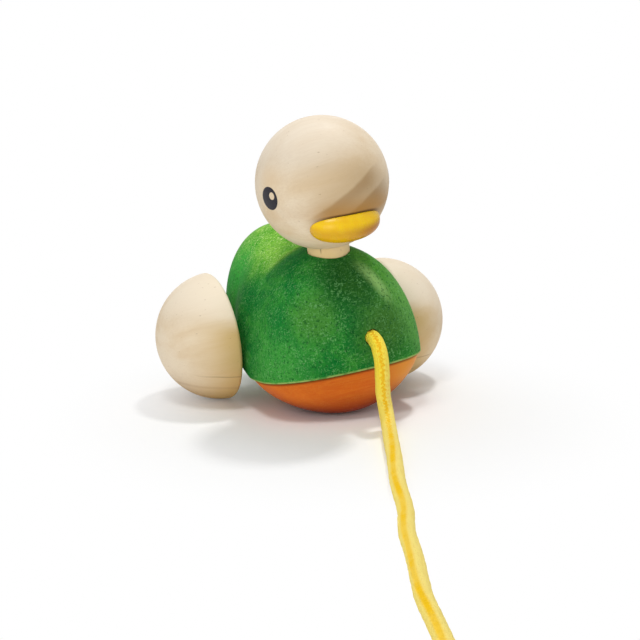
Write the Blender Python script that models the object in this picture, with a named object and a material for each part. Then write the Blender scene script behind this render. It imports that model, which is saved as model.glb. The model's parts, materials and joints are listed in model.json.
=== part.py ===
"""Pull-along wooden duck that waddles on two half-ball wheels set off-centre on one axle.

The duck is drawn in its own frame: the origin is the middle of the axle, -Y is where it looks
and +Z is its own up.  The wheels' off-centre bores are half a turn apart, so the standing duck
leans to one side.  A carrier empty holds that lean and sets the duck down on the floor, Z = 0.
"""
import math

import bmesh
import bpy
import numpy as np
from mathutils import Vector

MM = 0.001

# Head, neck and bill
HEAD_DIAMETER = 50 * MM
NECK_DIAMETER = 16 * MM
NECK_AHEAD = 35 * MM
NECK_GAP = 0.9 * MM
NECK_IN_HEAD = 12 * MM
NECK_IN_BODY = 14 * MM
NECK_BOSS_WALL = 4 * MM
NECK_SOCKET_FLOOR = 3 * MM
NECK_CHAMFER = 1 * MM
BILL_WIDTH = 27.6 * MM
BILL_LENGTH = 17.2 * MM
BILL_THICKNESS = 12.6 * MM
BILL_SINK = 3.4 * MM
BILL_DROP = math.radians(36)
BILL_PITCH = math.radians(12)
BILL_FULLNESS = 2.3
PEG_DIAMETER = 4 * MM
PEG_LENGTH = 14 * MM
PEG_IN_BILL = 4 * MM

# Body form, as stations along Y measured from the axle
BODY_FRONT = 54.2 * MM
CHEST_STATION = 31.5 * MM
RUMP_STATION = 8 * MM
FLANK_STATION = 14 * MM
BODY_REAR = 38 * MM
CHEST_WIDTH = 66.4 * MM
RUMP_WIDTH = 51 * MM
CHEST_TOP = 39.5 * MM
RUMP_TOP = 41 * MM
BACK_DIP = 3 * MM
RUMP_BOTTOM = 8.5 * MM
RUMP_WIDEST = 4 * MM
TAIL_HEIGHT = 18 * MM
BREAST_PLAN = 2.6
BREAST_PROFILE = 2.7
KEEL_PROFILE = 3.3
TAIL_ROUND = 2.2
BOWL_POWER = 4 / 3

# Shell, seam and belly
SEAM_BELOW_AXLE = 11.7 * MM
SEAM_PITCH = math.radians(6.8)
SEAM_LIP = 0.4 * MM
SHELL_WALL = 5 * MM
BELLY_OVERHANG = 1 * MM
SPIGOT_HEIGHT = 4 * MM
SPIGOT_ROOT = 1 * MM

# Wheels and axle
WHEEL_DIAMETER = 50 * MM
WHEEL_OFFSET = 3.9 * MM
WHEEL_EDGE = 1.5 * MM
WHEEL_CLEARANCE = 1.8 * MM
AXLE_DIAMETER = 5 * MM
AXLE_CHAMFER = 0.5 * MM
AXLE_IN_WHEEL = 14 * MM
AXLE_BEARING = 10 * MM
AXLE_BOSS_WALL = 3.5 * MM
SPACER_DIAMETER = 12 * MM
SPOT_FACE = 1.2 * MM

# Pull cord
CORD_DIAMETER = 5.6 * MM
CORD_HOLE_SIDE = 6.3 * MM
CORD_HOLE_HEIGHT = 6.6 * MM
KNOT_DIAMETER = 12 * MM
KNOT_LENGTH = 10 * MM
KNOT_SEAT = 0.8 * MM
COIL_TURNS = 2
COIL_DIAMETER = 60 * MM
COIL_CENTRE = (-118.7 * MM, -280 * MM)
CORD_HEADING = math.radians(252)
TIE_WIDTH = 6 * MM
TIE_THICKNESS = 0.5 * MM

# Fits between pieces
GLUE_GAP = 0.3 * MM
RUNNING_GAP = 0.3 * MM
CORD_HOLE_GAP = 0.4 * MM

# Facets
BODY_STATIONS = 26
BODY_AROUND = 44
INNER_FACETS = (18, 32)
TURN_STEPS = 36
HOLE_STEPS = 24
SOCKET_STEPS = 32
BILL_ROWS = 14

# Finishes: colour, roughness, metallic
FINISHES = {
    "natural_wood": ((0.72, 0.56, 0.38), 0.55, 0.0),
    "green_stain": ((0.05, 0.26, 0.06), 0.40, 0.0),
    "orange_stain": ((0.58, 0.16, 0.03), 0.45, 0.0),
    "yellow_paint": ((0.80, 0.48, 0.02), 0.30, 0.0),
    "steel": ((0.55, 0.55, 0.56), 0.30, 1.0),
    "yellow_cord": ((0.90, 0.58, 0.04), 0.85, 0.0),
    "tie_paper": ((0.80, 0.77, 0.70), 0.80, 0.0),
}


def clear_scene():
    for thing in list(bpy.data.objects):
        bpy.data.objects.remove(thing, do_unlink=True)


def finish(name):
    """A Principled material from the table of finishes, made once."""
    material = bpy.data.materials.get(name)
    if material is None:
        colour, roughness, metallic = FINISHES[name]
        material = bpy.data.materials.new(name)
        material.use_nodes = True
        shader = material.node_tree.nodes["Principled BSDF"]
        shader.inputs["Base Color"].default_value = (*colour, 1.0)
        shader.inputs["Roughness"].default_value = roughness
        shader.inputs["Metallic"].default_value = metallic
        material.diffuse_color = (*colour, 1.0)
    return material


def empty(name, parent=None):
    holder = bpy.data.objects.new(name, None)
    bpy.context.collection.objects.link(holder)
    holder.parent = parent
    return holder


def solid(name, bm, finish_name=None, parent=None, location=(0, 0, 0), rotation=(0, 0, 0)):
    """Turn a bmesh into a named object; without a finish it is a cutter and is not built."""
    bmesh.ops.recalc_face_normals(bm, faces=bm.faces)
    mesh = bpy.data.meshes.new(name)
    bm.to_mesh(mesh)
    bm.free()
    thing = bpy.data.objects.new(name, mesh)
    bpy.context.collection.objects.link(thing)
    thing.parent = parent
    thing.location = location
    thing.rotation_euler = rotation
    if finish_name is None:
        thing.hide_render = True
        thing.display_type = "WIRE"
    else:
        mesh.materials.append(finish(finish_name))
        mesh.shade_smooth()
        mesh.set_sharp_from_angle(angle=math.radians(40))
    return thing


def combine(target, tool, operation):
    step = target.modifiers.new(f"{operation.lower()}_{tool.name}", "BOOLEAN")
    step.object = tool
    step.operation = operation
    step.solver = "EXACT"


def turned(profile, steps=TURN_STEPS):
    """Spin a (radius, height) outline, run from top to bottom, about local Z."""
    bm = bmesh.new()
    verts = [bm.verts.new((radius, 0, height)) for radius, height in profile]
    edges = [bm.edges.new(pair) for pair in zip(verts, verts[1:])]
    bmesh.ops.spin(bm, geom=verts + edges, cent=(0, 0, 0), axis=(0, 0, 1),
                   angle=2 * math.pi, steps=steps, use_merge=True)
    bmesh.ops.remove_doubles(bm, verts=bm.verts, dist=1e-6)
    return bm


def along(bm, axis):
    """Turn a shape made about +Z so that it lies along another axis."""
    turn = Vector((0, 0, 1)).rotation_difference(Vector(axis)).to_matrix().to_4x4()
    bmesh.ops.transform(bm, matrix=turn, verts=bm.verts)
    return bm


def rod(radius, start, end, axis="Z", steps=HOLE_STEPS):
    """A plain cylinder from start to end along one axis, its end caps left whole."""
    bm = bmesh.new()
    bmesh.ops.create_cone(bm, cap_ends=True, cap_tris=False, segments=steps,
                          radius1=radius, radius2=radius, depth=end - start)
    bmesh.ops.translate(bm, verts=bm.verts, vec=(0, 0, (start + end) / 2))
    return bm if axis == "Z" else along(bm, (1, 0, 0) if axis == "X" else (0, 1, 0))


def loft(rings, first, last):
    """Skin closed rings of points, with a point at each end."""
    bm = bmesh.new()
    rows = [[bm.verts.new(point) for point in ring] for ring in rings]
    count = len(rows[0])
    for here, there in zip(rows, rows[1:]):
        for i in range(count):
            j = (i + 1) % count
            bm.faces.new((here[i], here[j], there[j], there[i]))
    for row, point in ((rows[0], first), (rows[-1], last)):
        pole = bm.verts.new(point)
        for i in range(count):
            bm.faces.new((row[i], row[(i + 1) % count], pole))
    return bm


def smooth_step(value):
    value = min(max(value, 0.0), 1.0)
    return value * value * (3 - 2 * value)


def cap(share, power):
    """Rounded end: 1 where the end begins, 0 at its tip."""
    return max(1 - min(max(share, 0.0), 1.0) ** power, 0.0) ** (1 / power)


# Stance: how far the standing duck leans, and how high its axle rides

WHEEL_RADIUS = WHEEL_DIAMETER / 2
HEAD_RADIUS = HEAD_DIAMETER / 2
NECK_RADIUS = NECK_DIAMETER / 2
AXLE_RADIUS = AXLE_DIAMETER / 2
CORD_RADIUS = CORD_DIAMETER / 2
WHEEL_FACE = max(CHEST_WIDTH, RUMP_WIDTH) / 2 + WHEEL_CLEARANCE
EDGE_CIRCLE = math.sqrt((WHEEL_RADIUS - WHEEL_EDGE) ** 2 - WHEEL_EDGE ** 2)


def stance():
    """Lean and axle height with both wheels on the floor.

    The low side stands on its ball, the high side on the rounded rim of its flat face.
    """
    lean = 0.0
    for _ in range(40):
        drop = (2 * WHEEL_OFFSET + EDGE_CIRCLE) * math.cos(lean) - WHEEL_RADIUS + WHEEL_EDGE
        lean = math.asin(drop / (2 * WHEEL_FACE + WHEEL_EDGE))
    ride = WHEEL_RADIUS + WHEEL_FACE * math.sin(lean) - WHEEL_OFFSET * math.cos(lean)
    return lean, ride


LEAN, RIDE = stance()


# Body form: elliptical sections along Y, widest at the seam in front and higher up behind

def girdle(y):
    """Level of the form's widest line along the chest, a lip's height above the seam."""
    return -SEAM_BELOW_AXLE - math.tan(SEAM_PITCH) * y + SEAM_LIP


def keel_level():
    """Lowest level of the belly, so that the leaning duck also rests on it."""
    half = CHEST_WIDTH / 2 - BELLY_OVERHANG
    seam = girdle(-CHEST_STATION)
    angle = np.linspace(0, math.pi / 2, 400)
    depth = RIDE + seam
    for _ in range(20):
        reach = (math.sin(LEAN) * half * np.cos(angle)
                 + math.cos(LEAN) * depth * np.sin(angle) ** BOWL_POWER)
        depth += (RIDE + math.cos(LEAN) * seam - reach.max()) / math.cos(LEAN)
    return seam - depth


KEEL = keel_level()
BREAST_HEIGHT = girdle(-BODY_FRONT)


def section(y, side=0.0, upright=0.0):
    """Half width, top, bottom and widest level at y, inset sideways and up and down."""
    share = (y + CHEST_STATION) / (RUMP_STATION + CHEST_STATION)
    aft = smooth_step(share)
    narrow = smooth_step((y + FLANK_STATION) / (RUMP_STATION + FLANK_STATION))
    half = CHEST_WIDTH / 2 + (RUMP_WIDTH - CHEST_WIDTH) / 2 * narrow - side
    dip = BACK_DIP * math.sin(math.pi * min(max(share, 0.0), 1.0)) ** 2
    top = CHEST_TOP + (RUMP_TOP - CHEST_TOP) * aft - dip - upright
    bottom = KEEL + (-RUMP_BOTTOM - KEEL) * aft + upright
    widest = girdle(y) + (RUMP_WIDEST - girdle(y)) * aft
    front = (-CHEST_STATION - y) / (BODY_FRONT - side - CHEST_STATION)
    rear = (y - RUMP_STATION) / (BODY_REAR - side - RUMP_STATION)
    if front > 0:
        half *= cap(front, BREAST_PLAN)
        top = BREAST_HEIGHT + (top - BREAST_HEIGHT) * cap(front, BREAST_PROFILE)
        bottom = BREAST_HEIGHT + (bottom - BREAST_HEIGHT) * cap(front, KEEL_PROFILE)
        widest = BREAST_HEIGHT + (widest - BREAST_HEIGHT) * cap(front, KEEL_PROFILE)
    if rear > 0:
        close = cap(rear, TAIL_ROUND)
        half *= close
        top = TAIL_HEIGHT + (top - TAIL_HEIGHT) * close
        bottom = TAIL_HEIGHT + (bottom - TAIL_HEIGHT) * close
        widest = TAIL_HEIGHT + (widest - TAIL_HEIGHT) * close
    return half, top, bottom, widest


def body_form(side=0.0, upright=0.0, stations=BODY_STATIONS, around=BODY_AROUND):
    """Closed skin of the whole body, inset by side and upright."""
    front, rear = -(BODY_FRONT - side), BODY_REAR - side
    rings = []
    for turn in np.linspace(0, math.pi, stations + 2)[1:-1]:
        y = (front + rear) / 2 - (rear - front) / 2 * math.cos(turn)
        half, top, bottom, widest = section(y, side, upright)
        ring = []
        for angle in np.linspace(0, 2 * math.pi, around, endpoint=False):
            lift = math.sin(angle)
            if lift >= 0:
                z = widest + (top - widest) * lift
            else:
                z = widest - (widest - bottom) * (-lift) ** BOWL_POWER
            ring.append((half * math.cos(angle), y, z))
        rings.append(ring)
    return loft(rings, (0, front, BREAST_HEIGHT), (0, rear, TAIL_HEIGHT))


def flank(y, z):
    """Half width of the form at height z of station y, above its widest level."""
    half, top, _, widest = section(y)
    return half * math.sqrt(max(1 - ((z - widest) / (top - widest)) ** 2, 0.0))


def chest_face(x, z):
    """Y of the chest's surface in front of the point (x, z), by halving."""
    outside, inside = -BODY_FRONT, -CHEST_STATION
    for _ in range(50):
        middle = (outside + inside) / 2
        _, top, _, widest = section(middle)
        if widest < z < top and flank(middle, z) > x:
            inside = middle
        else:
            outside = middle
    return inside


def half_space(name, parent, lift, upwards):
    """A big block above or below the seam plane, used as a saw."""
    size = 4 * (BODY_FRONT + BODY_REAR)
    bm = bmesh.new()
    bmesh.ops.create_cube(bm, size=size)
    bmesh.ops.translate(bm, verts=bm.verts, vec=(0, 0, size / 2 if upwards else -size / 2))
    place = (0, 0, -SEAM_BELOW_AXLE + lift / math.cos(SEAM_PITCH))
    return solid(name, bm, None, parent, place, (-SEAM_PITCH, 0, 0))


# Levels and places that several pieces share

HEAD_CENTRE = CHEST_TOP + NECK_GAP + math.sqrt(HEAD_RADIUS ** 2 - NECK_RADIUS ** 2)
NECK_TOP = HEAD_CENTRE - math.sqrt(HEAD_RADIUS ** 2 - NECK_RADIUS ** 2) + NECK_IN_HEAD
NECK_FOOT = CHEST_TOP - NECK_IN_BODY
SPOT_PLANE = flank(0, 0) - SPOT_FACE
HOLE_FACE = chest_face(CORD_HOLE_SIDE, CORD_HOLE_HEIGHT)


def body_shell(duck):
    """Moulded shell: the form less its cavity, sawn at the seam, bored for neck, axle and cord."""
    shell = solid("body_shell", body_form(), "green_stain", duck)

    cavity = solid("cavity", body_form(SHELL_WALL, SHELL_WALL, *INNER_FACETS), None, duck)
    boss_foot = NECK_FOOT - NECK_SOCKET_FLOOR
    neck_boss = rod(NECK_RADIUS + NECK_BOSS_WALL, boss_foot, CHEST_TOP + SHELL_WALL, steps=SOCKET_STEPS)
    combine(cavity, solid("neck_boss", neck_boss, None, duck, (0, -NECK_AHEAD, 0)), "DIFFERENCE")
    for side, word in ((-1, "right"), (1, "left")):
        ends = sorted((side * (SPOT_PLANE - AXLE_BEARING), side * WHEEL_FACE))
        axle_boss = rod(AXLE_RADIUS + AXLE_BOSS_WALL, *ends, "X")
        combine(cavity, solid(f"axle_boss_{word}", axle_boss, None, duck), "DIFFERENCE")
    combine(shell, cavity, "DIFFERENCE")
    combine(shell, half_space("seam_saw", duck, 0, False), "DIFFERENCE")

    socket = rod(NECK_RADIUS + GLUE_GAP, NECK_FOOT - GLUE_GAP, HEAD_CENTRE, steps=SOCKET_STEPS)
    combine(shell, solid("neck_socket", socket, None, duck, (0, -NECK_AHEAD, 0)), "DIFFERENCE")
    bore, seat = AXLE_RADIUS + RUNNING_GAP, SPACER_DIAMETER / 2 + RUNNING_GAP
    beyond = 2 * WHEEL_FACE
    stepped = [(0, beyond), (seat, beyond), (seat, SPOT_PLANE), (bore, SPOT_PLANE), (bore, -SPOT_PLANE),
               (seat, -SPOT_PLANE), (seat, -beyond), (0, -beyond)]
    drill = along(turned(stepped, SOCKET_STEPS), (1, 0, 0))
    combine(shell, solid("axle_drill", drill, None, duck), "DIFFERENCE")
    hole = rod(CORD_RADIUS + CORD_HOLE_GAP, HOLE_FACE - SHELL_WALL, HOLE_FACE + 2 * SHELL_WALL, "Y")
    place = (CORD_HOLE_SIDE, 0, CORD_HOLE_HEIGHT)
    combine(shell, solid("cord_hole", hole, None, duck, place), "DIFFERENCE")
    return shell


def belly(duck):
    """Turned bowl under the seam, with a spigot that locates it in the shell's mouth."""
    bowl = solid("belly", body_form(BELLY_OVERHANG), "orange_stain", duck)
    combine(bowl, half_space("belly_saw", duck, -GLUE_GAP, True), "DIFFERENCE")

    inset = SHELL_WALL + GLUE_GAP
    spigot = solid("spigot", body_form(inset, inset, *INNER_FACETS), None, duck)
    combine(spigot, half_space("spigot_top_saw", duck, SPIGOT_HEIGHT, True), "DIFFERENCE")
    combine(spigot, half_space("spigot_root_saw", duck, -SPIGOT_ROOT, False), "DIFFERENCE")
    combine(bowl, spigot, "UNION")
    return bowl


def arc(centre, radius, start, end, steps):
    """Points of a circular arc as (radius, height) pairs, angles in degrees from +radius."""
    return [(centre[0] + radius * math.cos(angle), centre[1] + radius * math.sin(angle))
            for angle in np.radians(np.linspace(start, end, steps))]


def ball_form(radius):
    """Closed turned ball about the origin."""
    outline = arc((0, 0), radius, 90, -90, TURN_STEPS // 2 + 1)
    outline[0] = (0, radius)
    outline[-1] = (0, -radius)
    return turned(outline)


HEAD_PLACE = Vector((0, -NECK_AHEAD, HEAD_CENTRE))
BILL_WAY = Vector((0, -math.cos(BILL_DROP), -math.sin(BILL_DROP)))
PEG_ROOT = HEAD_RADIUS - (PEG_LENGTH - PEG_IN_BILL)
PEG_TIP = HEAD_RADIUS + PEG_IN_BILL


def head(duck):
    """Turned ball, bored below for the neck and in front for the bill's peg."""
    ball = solid("head", ball_form(HEAD_RADIUS), "natural_wood", duck, HEAD_PLACE)
    deep = NECK_TOP + GLUE_GAP - HEAD_CENTRE
    socket = rod(NECK_RADIUS + GLUE_GAP, -HEAD_DIAMETER, deep, steps=SOCKET_STEPS)
    combine(ball, solid("head_socket", socket, None, duck, HEAD_PLACE), "DIFFERENCE")
    hole = rod(PEG_DIAMETER / 2 + GLUE_GAP, PEG_ROOT - GLUE_GAP, 2 * HEAD_RADIUS)
    combine(ball, solid("peg_hole", along(hole, BILL_WAY), None, duck, HEAD_PLACE), "DIFFERENCE")
    return ball


def neck(duck):
    """Dowel between the body's socket and the head's, with both ends chamfered."""
    chamfer = NECK_CHAMFER
    outline = [(0, NECK_TOP), (NECK_RADIUS - chamfer, NECK_TOP), (NECK_RADIUS, NECK_TOP - chamfer),
               (NECK_RADIUS, NECK_FOOT + chamfer), (NECK_RADIUS - chamfer, NECK_FOOT), (0, NECK_FOOT)]
    return solid("neck_dowel", turned(outline, SOCKET_STEPS), "natural_wood", duck, (0, -NECK_AHEAD, 0))


def bill(duck):
    """Pebble-shaped bill, hollowed at the back to the head's ball and drilled for its peg."""
    power = 2 / BILL_FULLNESS
    rings = []
    for rise in np.linspace(-math.pi / 2, math.pi / 2, BILL_ROWS + 2)[1:-1]:
        girth = math.cos(rise) ** power
        level = BILL_THICKNESS / 2 * math.copysign(abs(math.sin(rise)) ** power, rise)
        wide, long = BILL_WIDTH / 2 * girth, BILL_LENGTH / 2 * girth
        rings.append([(wide * math.cos(angle), long * math.sin(angle), level)
                      for angle in np.linspace(0, 2 * math.pi, TURN_STEPS, endpoint=False)])
    pebble = loft(rings, (0, 0, -BILL_THICKNESS / 2), (0, 0, BILL_THICKNESS / 2))
    place = HEAD_PLACE + BILL_WAY * (HEAD_RADIUS - BILL_SINK)
    beak = solid("bill", pebble, "yellow_paint", duck, place, (BILL_PITCH, 0, 0))

    ball = solid("head_clearance", ball_form(HEAD_RADIUS + GLUE_GAP), None, duck, HEAD_PLACE)
    combine(beak, ball, "DIFFERENCE")
    hole = rod(PEG_DIAMETER / 2 + GLUE_GAP, PEG_ROOT, PEG_TIP + GLUE_GAP)
    combine(beak, solid("bill_peg_hole", along(hole, BILL_WAY), None, duck, HEAD_PLACE), "DIFFERENCE")

    peg = rod(PEG_DIAMETER / 2, PEG_ROOT, PEG_TIP)
    solid("bill_peg", along(peg, BILL_WAY), "natural_wood", duck, HEAD_PLACE)
    return beak


def wheel(wheelset, word, side):
    """Half ball with a rounded rim; its blind bore lies off the ball's centre."""
    touch = math.degrees(math.asin(WHEEL_EDGE / (WHEEL_RADIUS - WHEEL_EDGE)))
    profile = arc((0, 0), WHEEL_RADIUS, 90, touch, TURN_STEPS // 4 + 1)
    profile += arc((EDGE_CIRCLE, WHEEL_EDGE), WHEEL_EDGE, touch, -90, 4)[1:] + [(0, 0)]
    profile[0] = (0, WHEEL_RADIUS)
    dome = along(turned(profile), (side, 0, 0))
    bmesh.ops.translate(dome, verts=dome.verts, vec=(0, 0, -side * WHEEL_OFFSET))
    place = (side * WHEEL_FACE, 0, 0)
    ball = solid(f"wheel_{word}", dome, "natural_wood", wheelset, place)
    ends = sorted((-side * AXLE_IN_WHEEL, side * (AXLE_IN_WHEEL + GLUE_GAP)))
    bore = rod(AXLE_RADIUS + GLUE_GAP, *ends, "X")
    combine(ball, solid(f"wheel_bore_{word}", bore, None, wheelset, place), "DIFFERENCE")
    return ball


def spacer(wheelset, word, side):
    """Ring on the axle that keeps the wheel clear of the body's flank."""
    inner, outer = SPOT_PLANE + RUNNING_GAP, WHEEL_FACE - RUNNING_GAP
    hole, rim = AXLE_RADIUS + RUNNING_GAP, SPACER_DIAMETER / 2
    ring = turned([(hole, outer), (rim, outer), (rim, inner), (hole, inner), (hole, outer)], SOCKET_STEPS)
    return solid(f"axle_spacer_{word}", along(ring, (side, 0, 0)), "natural_wood", wheelset)


def axle(wheelset):
    """Steel rod with chamfered ends, seated in both wheels."""
    reach = WHEEL_FACE + AXLE_IN_WHEEL
    tip = AXLE_RADIUS - AXLE_CHAMFER
    outline = [(0, reach), (tip, reach), (AXLE_RADIUS, reach - AXLE_CHAMFER),
               (AXLE_RADIUS, AXLE_CHAMFER - reach), (tip, -reach), (0, -reach)]
    return solid("axle", along(turned(outline, HOLE_STEPS), (1, 0, 0)), "steel", wheelset)


def seat_on_floor(carrier, pieces):
    """Move the carrier so that the toy's box stands centred on the origin."""
    bpy.context.view_layer.update()
    depsgraph = bpy.context.evaluated_depsgraph_get()
    corners = []
    for piece in pieces:
        ready = piece.evaluated_get(depsgraph)
        corners += [ready.matrix_world @ vertex.co for vertex in ready.data.vertices]
    low = Vector(min(corner[i] for corner in corners) for i in range(3))
    high = Vector(max(corner[i] for corner in corners) for i in range(3))
    carrier.location -= Vector(((low.x + high.x) / 2, (low.y + high.y) / 2, low.z))
    bpy.context.view_layer.update()


def smooth_route(points, spacing):
    """Evenly spaced points on a Catmull-Rom curve through the route's own points."""
    route = np.array(points)
    padded = np.vstack((2 * route[0] - route[1], route, 2 * route[-1] - route[-2]))
    t = np.linspace(0, 1, 40, endpoint=False)[:, None]
    pieces = []
    for a, b, c, d in zip(padded, padded[1:], padded[2:], padded[3:]):
        pieces.append(0.5 * (2 * b + (c - a) * t + (2 * a - 5 * b + 4 * c - d) * t ** 2
                             + (3 * b - a - 3 * c + d) * t ** 3))
    fine = np.vstack(pieces + [route[-1:]])
    length = np.concatenate(([0], np.cumsum(np.linalg.norm(np.diff(fine, axis=0), axis=1))))
    count = max(int(round(length[-1] / spacing)), 2)
    places = np.linspace(0, length[-1], count + 1)
    return np.column_stack([np.interp(places, length, fine[:, i]) for i in range(3)])


def tube(name, points, finish_name):
    """Cord as a round-bevelled poly curve with filled ends."""
    curve = bpy.data.curves.new(name, "CURVE")
    curve.dimensions = "3D"
    curve.bevel_depth = CORD_RADIUS
    curve.bevel_resolution = 2
    curve.use_fill_caps = True
    spline = curve.splines.new("POLY")
    spline.points.add(len(points) - 1)
    for slot, point in zip(spline.points, points):
        slot.co = (*point, 1)
    curve.materials.append(finish(finish_name))
    thing = bpy.data.objects.new(name, curve)
    bpy.context.collection.objects.link(thing)
    return thing


def knot(name, place, axis):
    """Tight overhand knot as a plain turned bead about the cord."""
    half, radius = KNOT_LENGTH / 2, KNOT_DIAMETER / 2
    outline = [(0, half)] + [(radius * math.cos(angle), half * math.sin(angle))
                             for angle in np.linspace(1.1, -1.1, 9)] + [(0, -half)]
    return solid(name, along(turned(outline, 16), axis), "yellow_cord", None, place)


def pull_cord(carrier):
    """Cord from its stopper knot in the chest down to the floor and on to its tied coil."""
    exit_point = carrier.matrix_world @ Vector((CORD_HOLE_SIDE, HOLE_FACE, CORD_HOLE_HEIGHT))
    inside = exit_point + Vector((0, SHELL_WALL + KNOT_SEAT, 0))
    knot("cord_stop_knot", inside + Vector((0, KNOT_LENGTH / 2, 0)), (0, 1, 0))

    width = (COIL_TURNS + 1) * CORD_DIAMETER
    inner, outer = COIL_DIAMETER / 2 - width / 2, COIL_DIAMETER / 2 + width / 2
    centre = Vector((*COIL_CENTRE, 0))
    heading = Vector((math.cos(CORD_HEADING), math.sin(CORD_HEADING), 0))
    abreast = Vector((-heading.y, heading.x, 0))
    turn_radius = outer - CORD_RADIUS
    short = math.sqrt((outer + GLUE_GAP + CORD_RADIUS) ** 2 - turn_radius ** 2)
    arrival = centre + abreast * turn_radius - heading * short

    fall = exit_point.z - CORD_RADIUS
    hang = [(0, 0, 0), (-0.2, -1.2, 0), (-1, -6.7, 0.05), (-1.6, -10.7, 0.18), (-1.8, -12.2, 0.36),
            (-1.7, -12.4, 0.5), (-1.5, -12.6, 0.64), (-1.2, -14.1, 0.82), (-2.2, -18.1, 0.95),
            (-4.2, -23.6, 1)]
    lying = [(-3.3, -76.6), (-11, -94.9), (-22.7, -121.6), (-32.2, -146), (-41, -164.6), (-48.4, -184.3),
             (-54.6, -199.5), (-60.2, -213.5), (-64.5, -227.3), (-68.7, -241)]
    route = [tuple(inside - Vector((0, GLUE_GAP, 0)))]
    route += [(exit_point.x + x * MM, exit_point.y + y * MM, exit_point.z - share * fall)
              for x, y, share in hang]
    route += [(x * MM, y * MM, CORD_RADIUS) for x, y in lying]
    route += [(arrival.x, arrival.y, CORD_RADIUS)]
    tube("cord_run", smooth_route(route, CORD_DIAMETER), "yellow_cord")

    raised = TIE_THICKNESS + GLUE_GAP
    rounding = CORD_RADIUS * 0.9
    profile = []
    for corner, start, end in (((outer - rounding, raised + CORD_DIAMETER - rounding), 90, 0),
                               ((outer - rounding, raised + rounding), 0, -90),
                               ((inner + rounding, raised + rounding), -90, -180),
                               ((inner + rounding, raised + CORD_DIAMETER - rounding), 180, 90)):
        profile += arc(corner, rounding, start, end, 4)
    profile.append(profile[0])
    solid("cord_coil", turned(profile), "yellow_cord", None, centre)

    bend = inner - math.sqrt(inner ** 2 - (TIE_WIDTH / 2) ** 2)
    bm = bmesh.new()
    hollow = (width + bend + 2 * GLUE_GAP, TIE_WIDTH, CORD_DIAMETER + 2 * GLUE_GAP)
    outside = (hollow[0] + 2 * TIE_THICKNESS, TIE_WIDTH, hollow[2] + 2 * TIE_THICKNESS)
    loops = []
    for size in (hollow, outside):
        for end in (-1, 1):
            loops.append([bm.verts.new((sx * size[0] / 2, end * size[1] / 2, sz * size[2] / 2))
                          for sx, sz in ((-1, -1), (1, -1), (1, 1), (-1, 1))])
    for one, two in ((0, 1), (2, 3), (0, 2), (1, 3)):
        for i in range(4):
            j = (i + 1) % 4
            bm.faces.new((loops[one][i], loops[one][j], loops[two][j], loops[two][i]))
    place = (COIL_CENTRE[0] - (COIL_DIAMETER - bend) / 2, COIL_CENTRE[1], outside[2] / 2)
    solid("cord_tie", bm, "tie_paper", None, place)

    end_place = centre + abreast * (inner - GLUE_GAP - KNOT_DIAMETER / 2)
    end_place.z = KNOT_DIAMETER / 2
    knot("cord_end_knot", end_place, heading)


def main():
    clear_scene()
    carrier = empty("carrier")
    carrier.location = (0, 0, RIDE)
    carrier.rotation_euler = (0, -LEAN, 0)
    wheelset = empty("wheelset_axis", carrier)

    pieces = [body_shell(carrier), belly(carrier), head(carrier), neck(carrier), bill(carrier)]
    pieces.append(axle(wheelset))
    for side, word in ((-1, "right"), (1, "left")):
        pieces += [wheel(wheelset, word, side), spacer(wheelset, word, side)]
    seat_on_floor(carrier, pieces)
    pull_cord(carrier)


main()
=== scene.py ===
# %% [markdown]
# # A pull-along wooden duck, dressed for its portrait
# The frame already knows where every piece sits and how the two wheels turn on their axle.
# This lesson gives each piece its fine surface and its finish: pale turned wood, pressed wood
# dust stained green, an orange belly, a painted bill, printed eyes and a soft knitted cord.

# %% Load the frame
import json
import math
from functools import partialmethod

import bmesh
import bpy
import numpy as np
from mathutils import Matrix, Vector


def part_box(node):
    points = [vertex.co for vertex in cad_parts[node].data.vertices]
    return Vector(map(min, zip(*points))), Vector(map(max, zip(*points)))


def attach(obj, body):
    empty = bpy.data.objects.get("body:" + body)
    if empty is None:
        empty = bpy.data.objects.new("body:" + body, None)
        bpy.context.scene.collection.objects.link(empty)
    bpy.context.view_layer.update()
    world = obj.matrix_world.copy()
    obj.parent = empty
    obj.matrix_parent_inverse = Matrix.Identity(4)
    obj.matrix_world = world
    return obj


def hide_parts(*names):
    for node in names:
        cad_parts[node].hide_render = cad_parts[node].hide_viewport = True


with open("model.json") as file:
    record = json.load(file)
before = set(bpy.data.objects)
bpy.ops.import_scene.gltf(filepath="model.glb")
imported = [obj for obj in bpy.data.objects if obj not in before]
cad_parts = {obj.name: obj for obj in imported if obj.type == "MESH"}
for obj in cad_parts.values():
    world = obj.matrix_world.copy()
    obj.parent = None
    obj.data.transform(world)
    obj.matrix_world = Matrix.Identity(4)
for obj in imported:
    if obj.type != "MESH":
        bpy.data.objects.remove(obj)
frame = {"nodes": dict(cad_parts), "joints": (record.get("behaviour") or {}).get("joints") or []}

MM = 0.001
TURN = 2 * math.pi
X_WAY, Y_WAY, Z_WAY, FORWARD = (1.0, 0, 0), (0, 1.0, 0), (0, 0, 1.0), (0, -1.0, 0)
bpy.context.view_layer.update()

# %% [markdown]
# ## Where the duck stands
# The wheels are bored off-centre, half a turn apart, so the standing duck leans to its right.
# Shapes are easiest to write in the duck's own upright frame, in millimetres from the middle
# of its axle. The joint in the record gives the axle's place and its tilt, and one small
# function stands the points of any piece on the floor.

# %% The duck's frame
wheel_joint = frame["joints"][0]
AXLE = np.array(wheel_joint["pos_m"]) / MM
LEAN = math.atan2(wheel_joint["axis"][2], wheel_joint["axis"][0])


def pile(*coordinates):
    """Points (..., n) from n coordinates whose shapes broadcast."""
    return np.stack(np.broadcast_arrays(*coordinates), -1)


def unit(vectors):
    """Vectors over their lengths: v / |v|."""
    vectors = np.asarray(vectors, float)
    return vectors / np.linalg.norm(vectors, axis=-1, keepdims=True)


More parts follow.
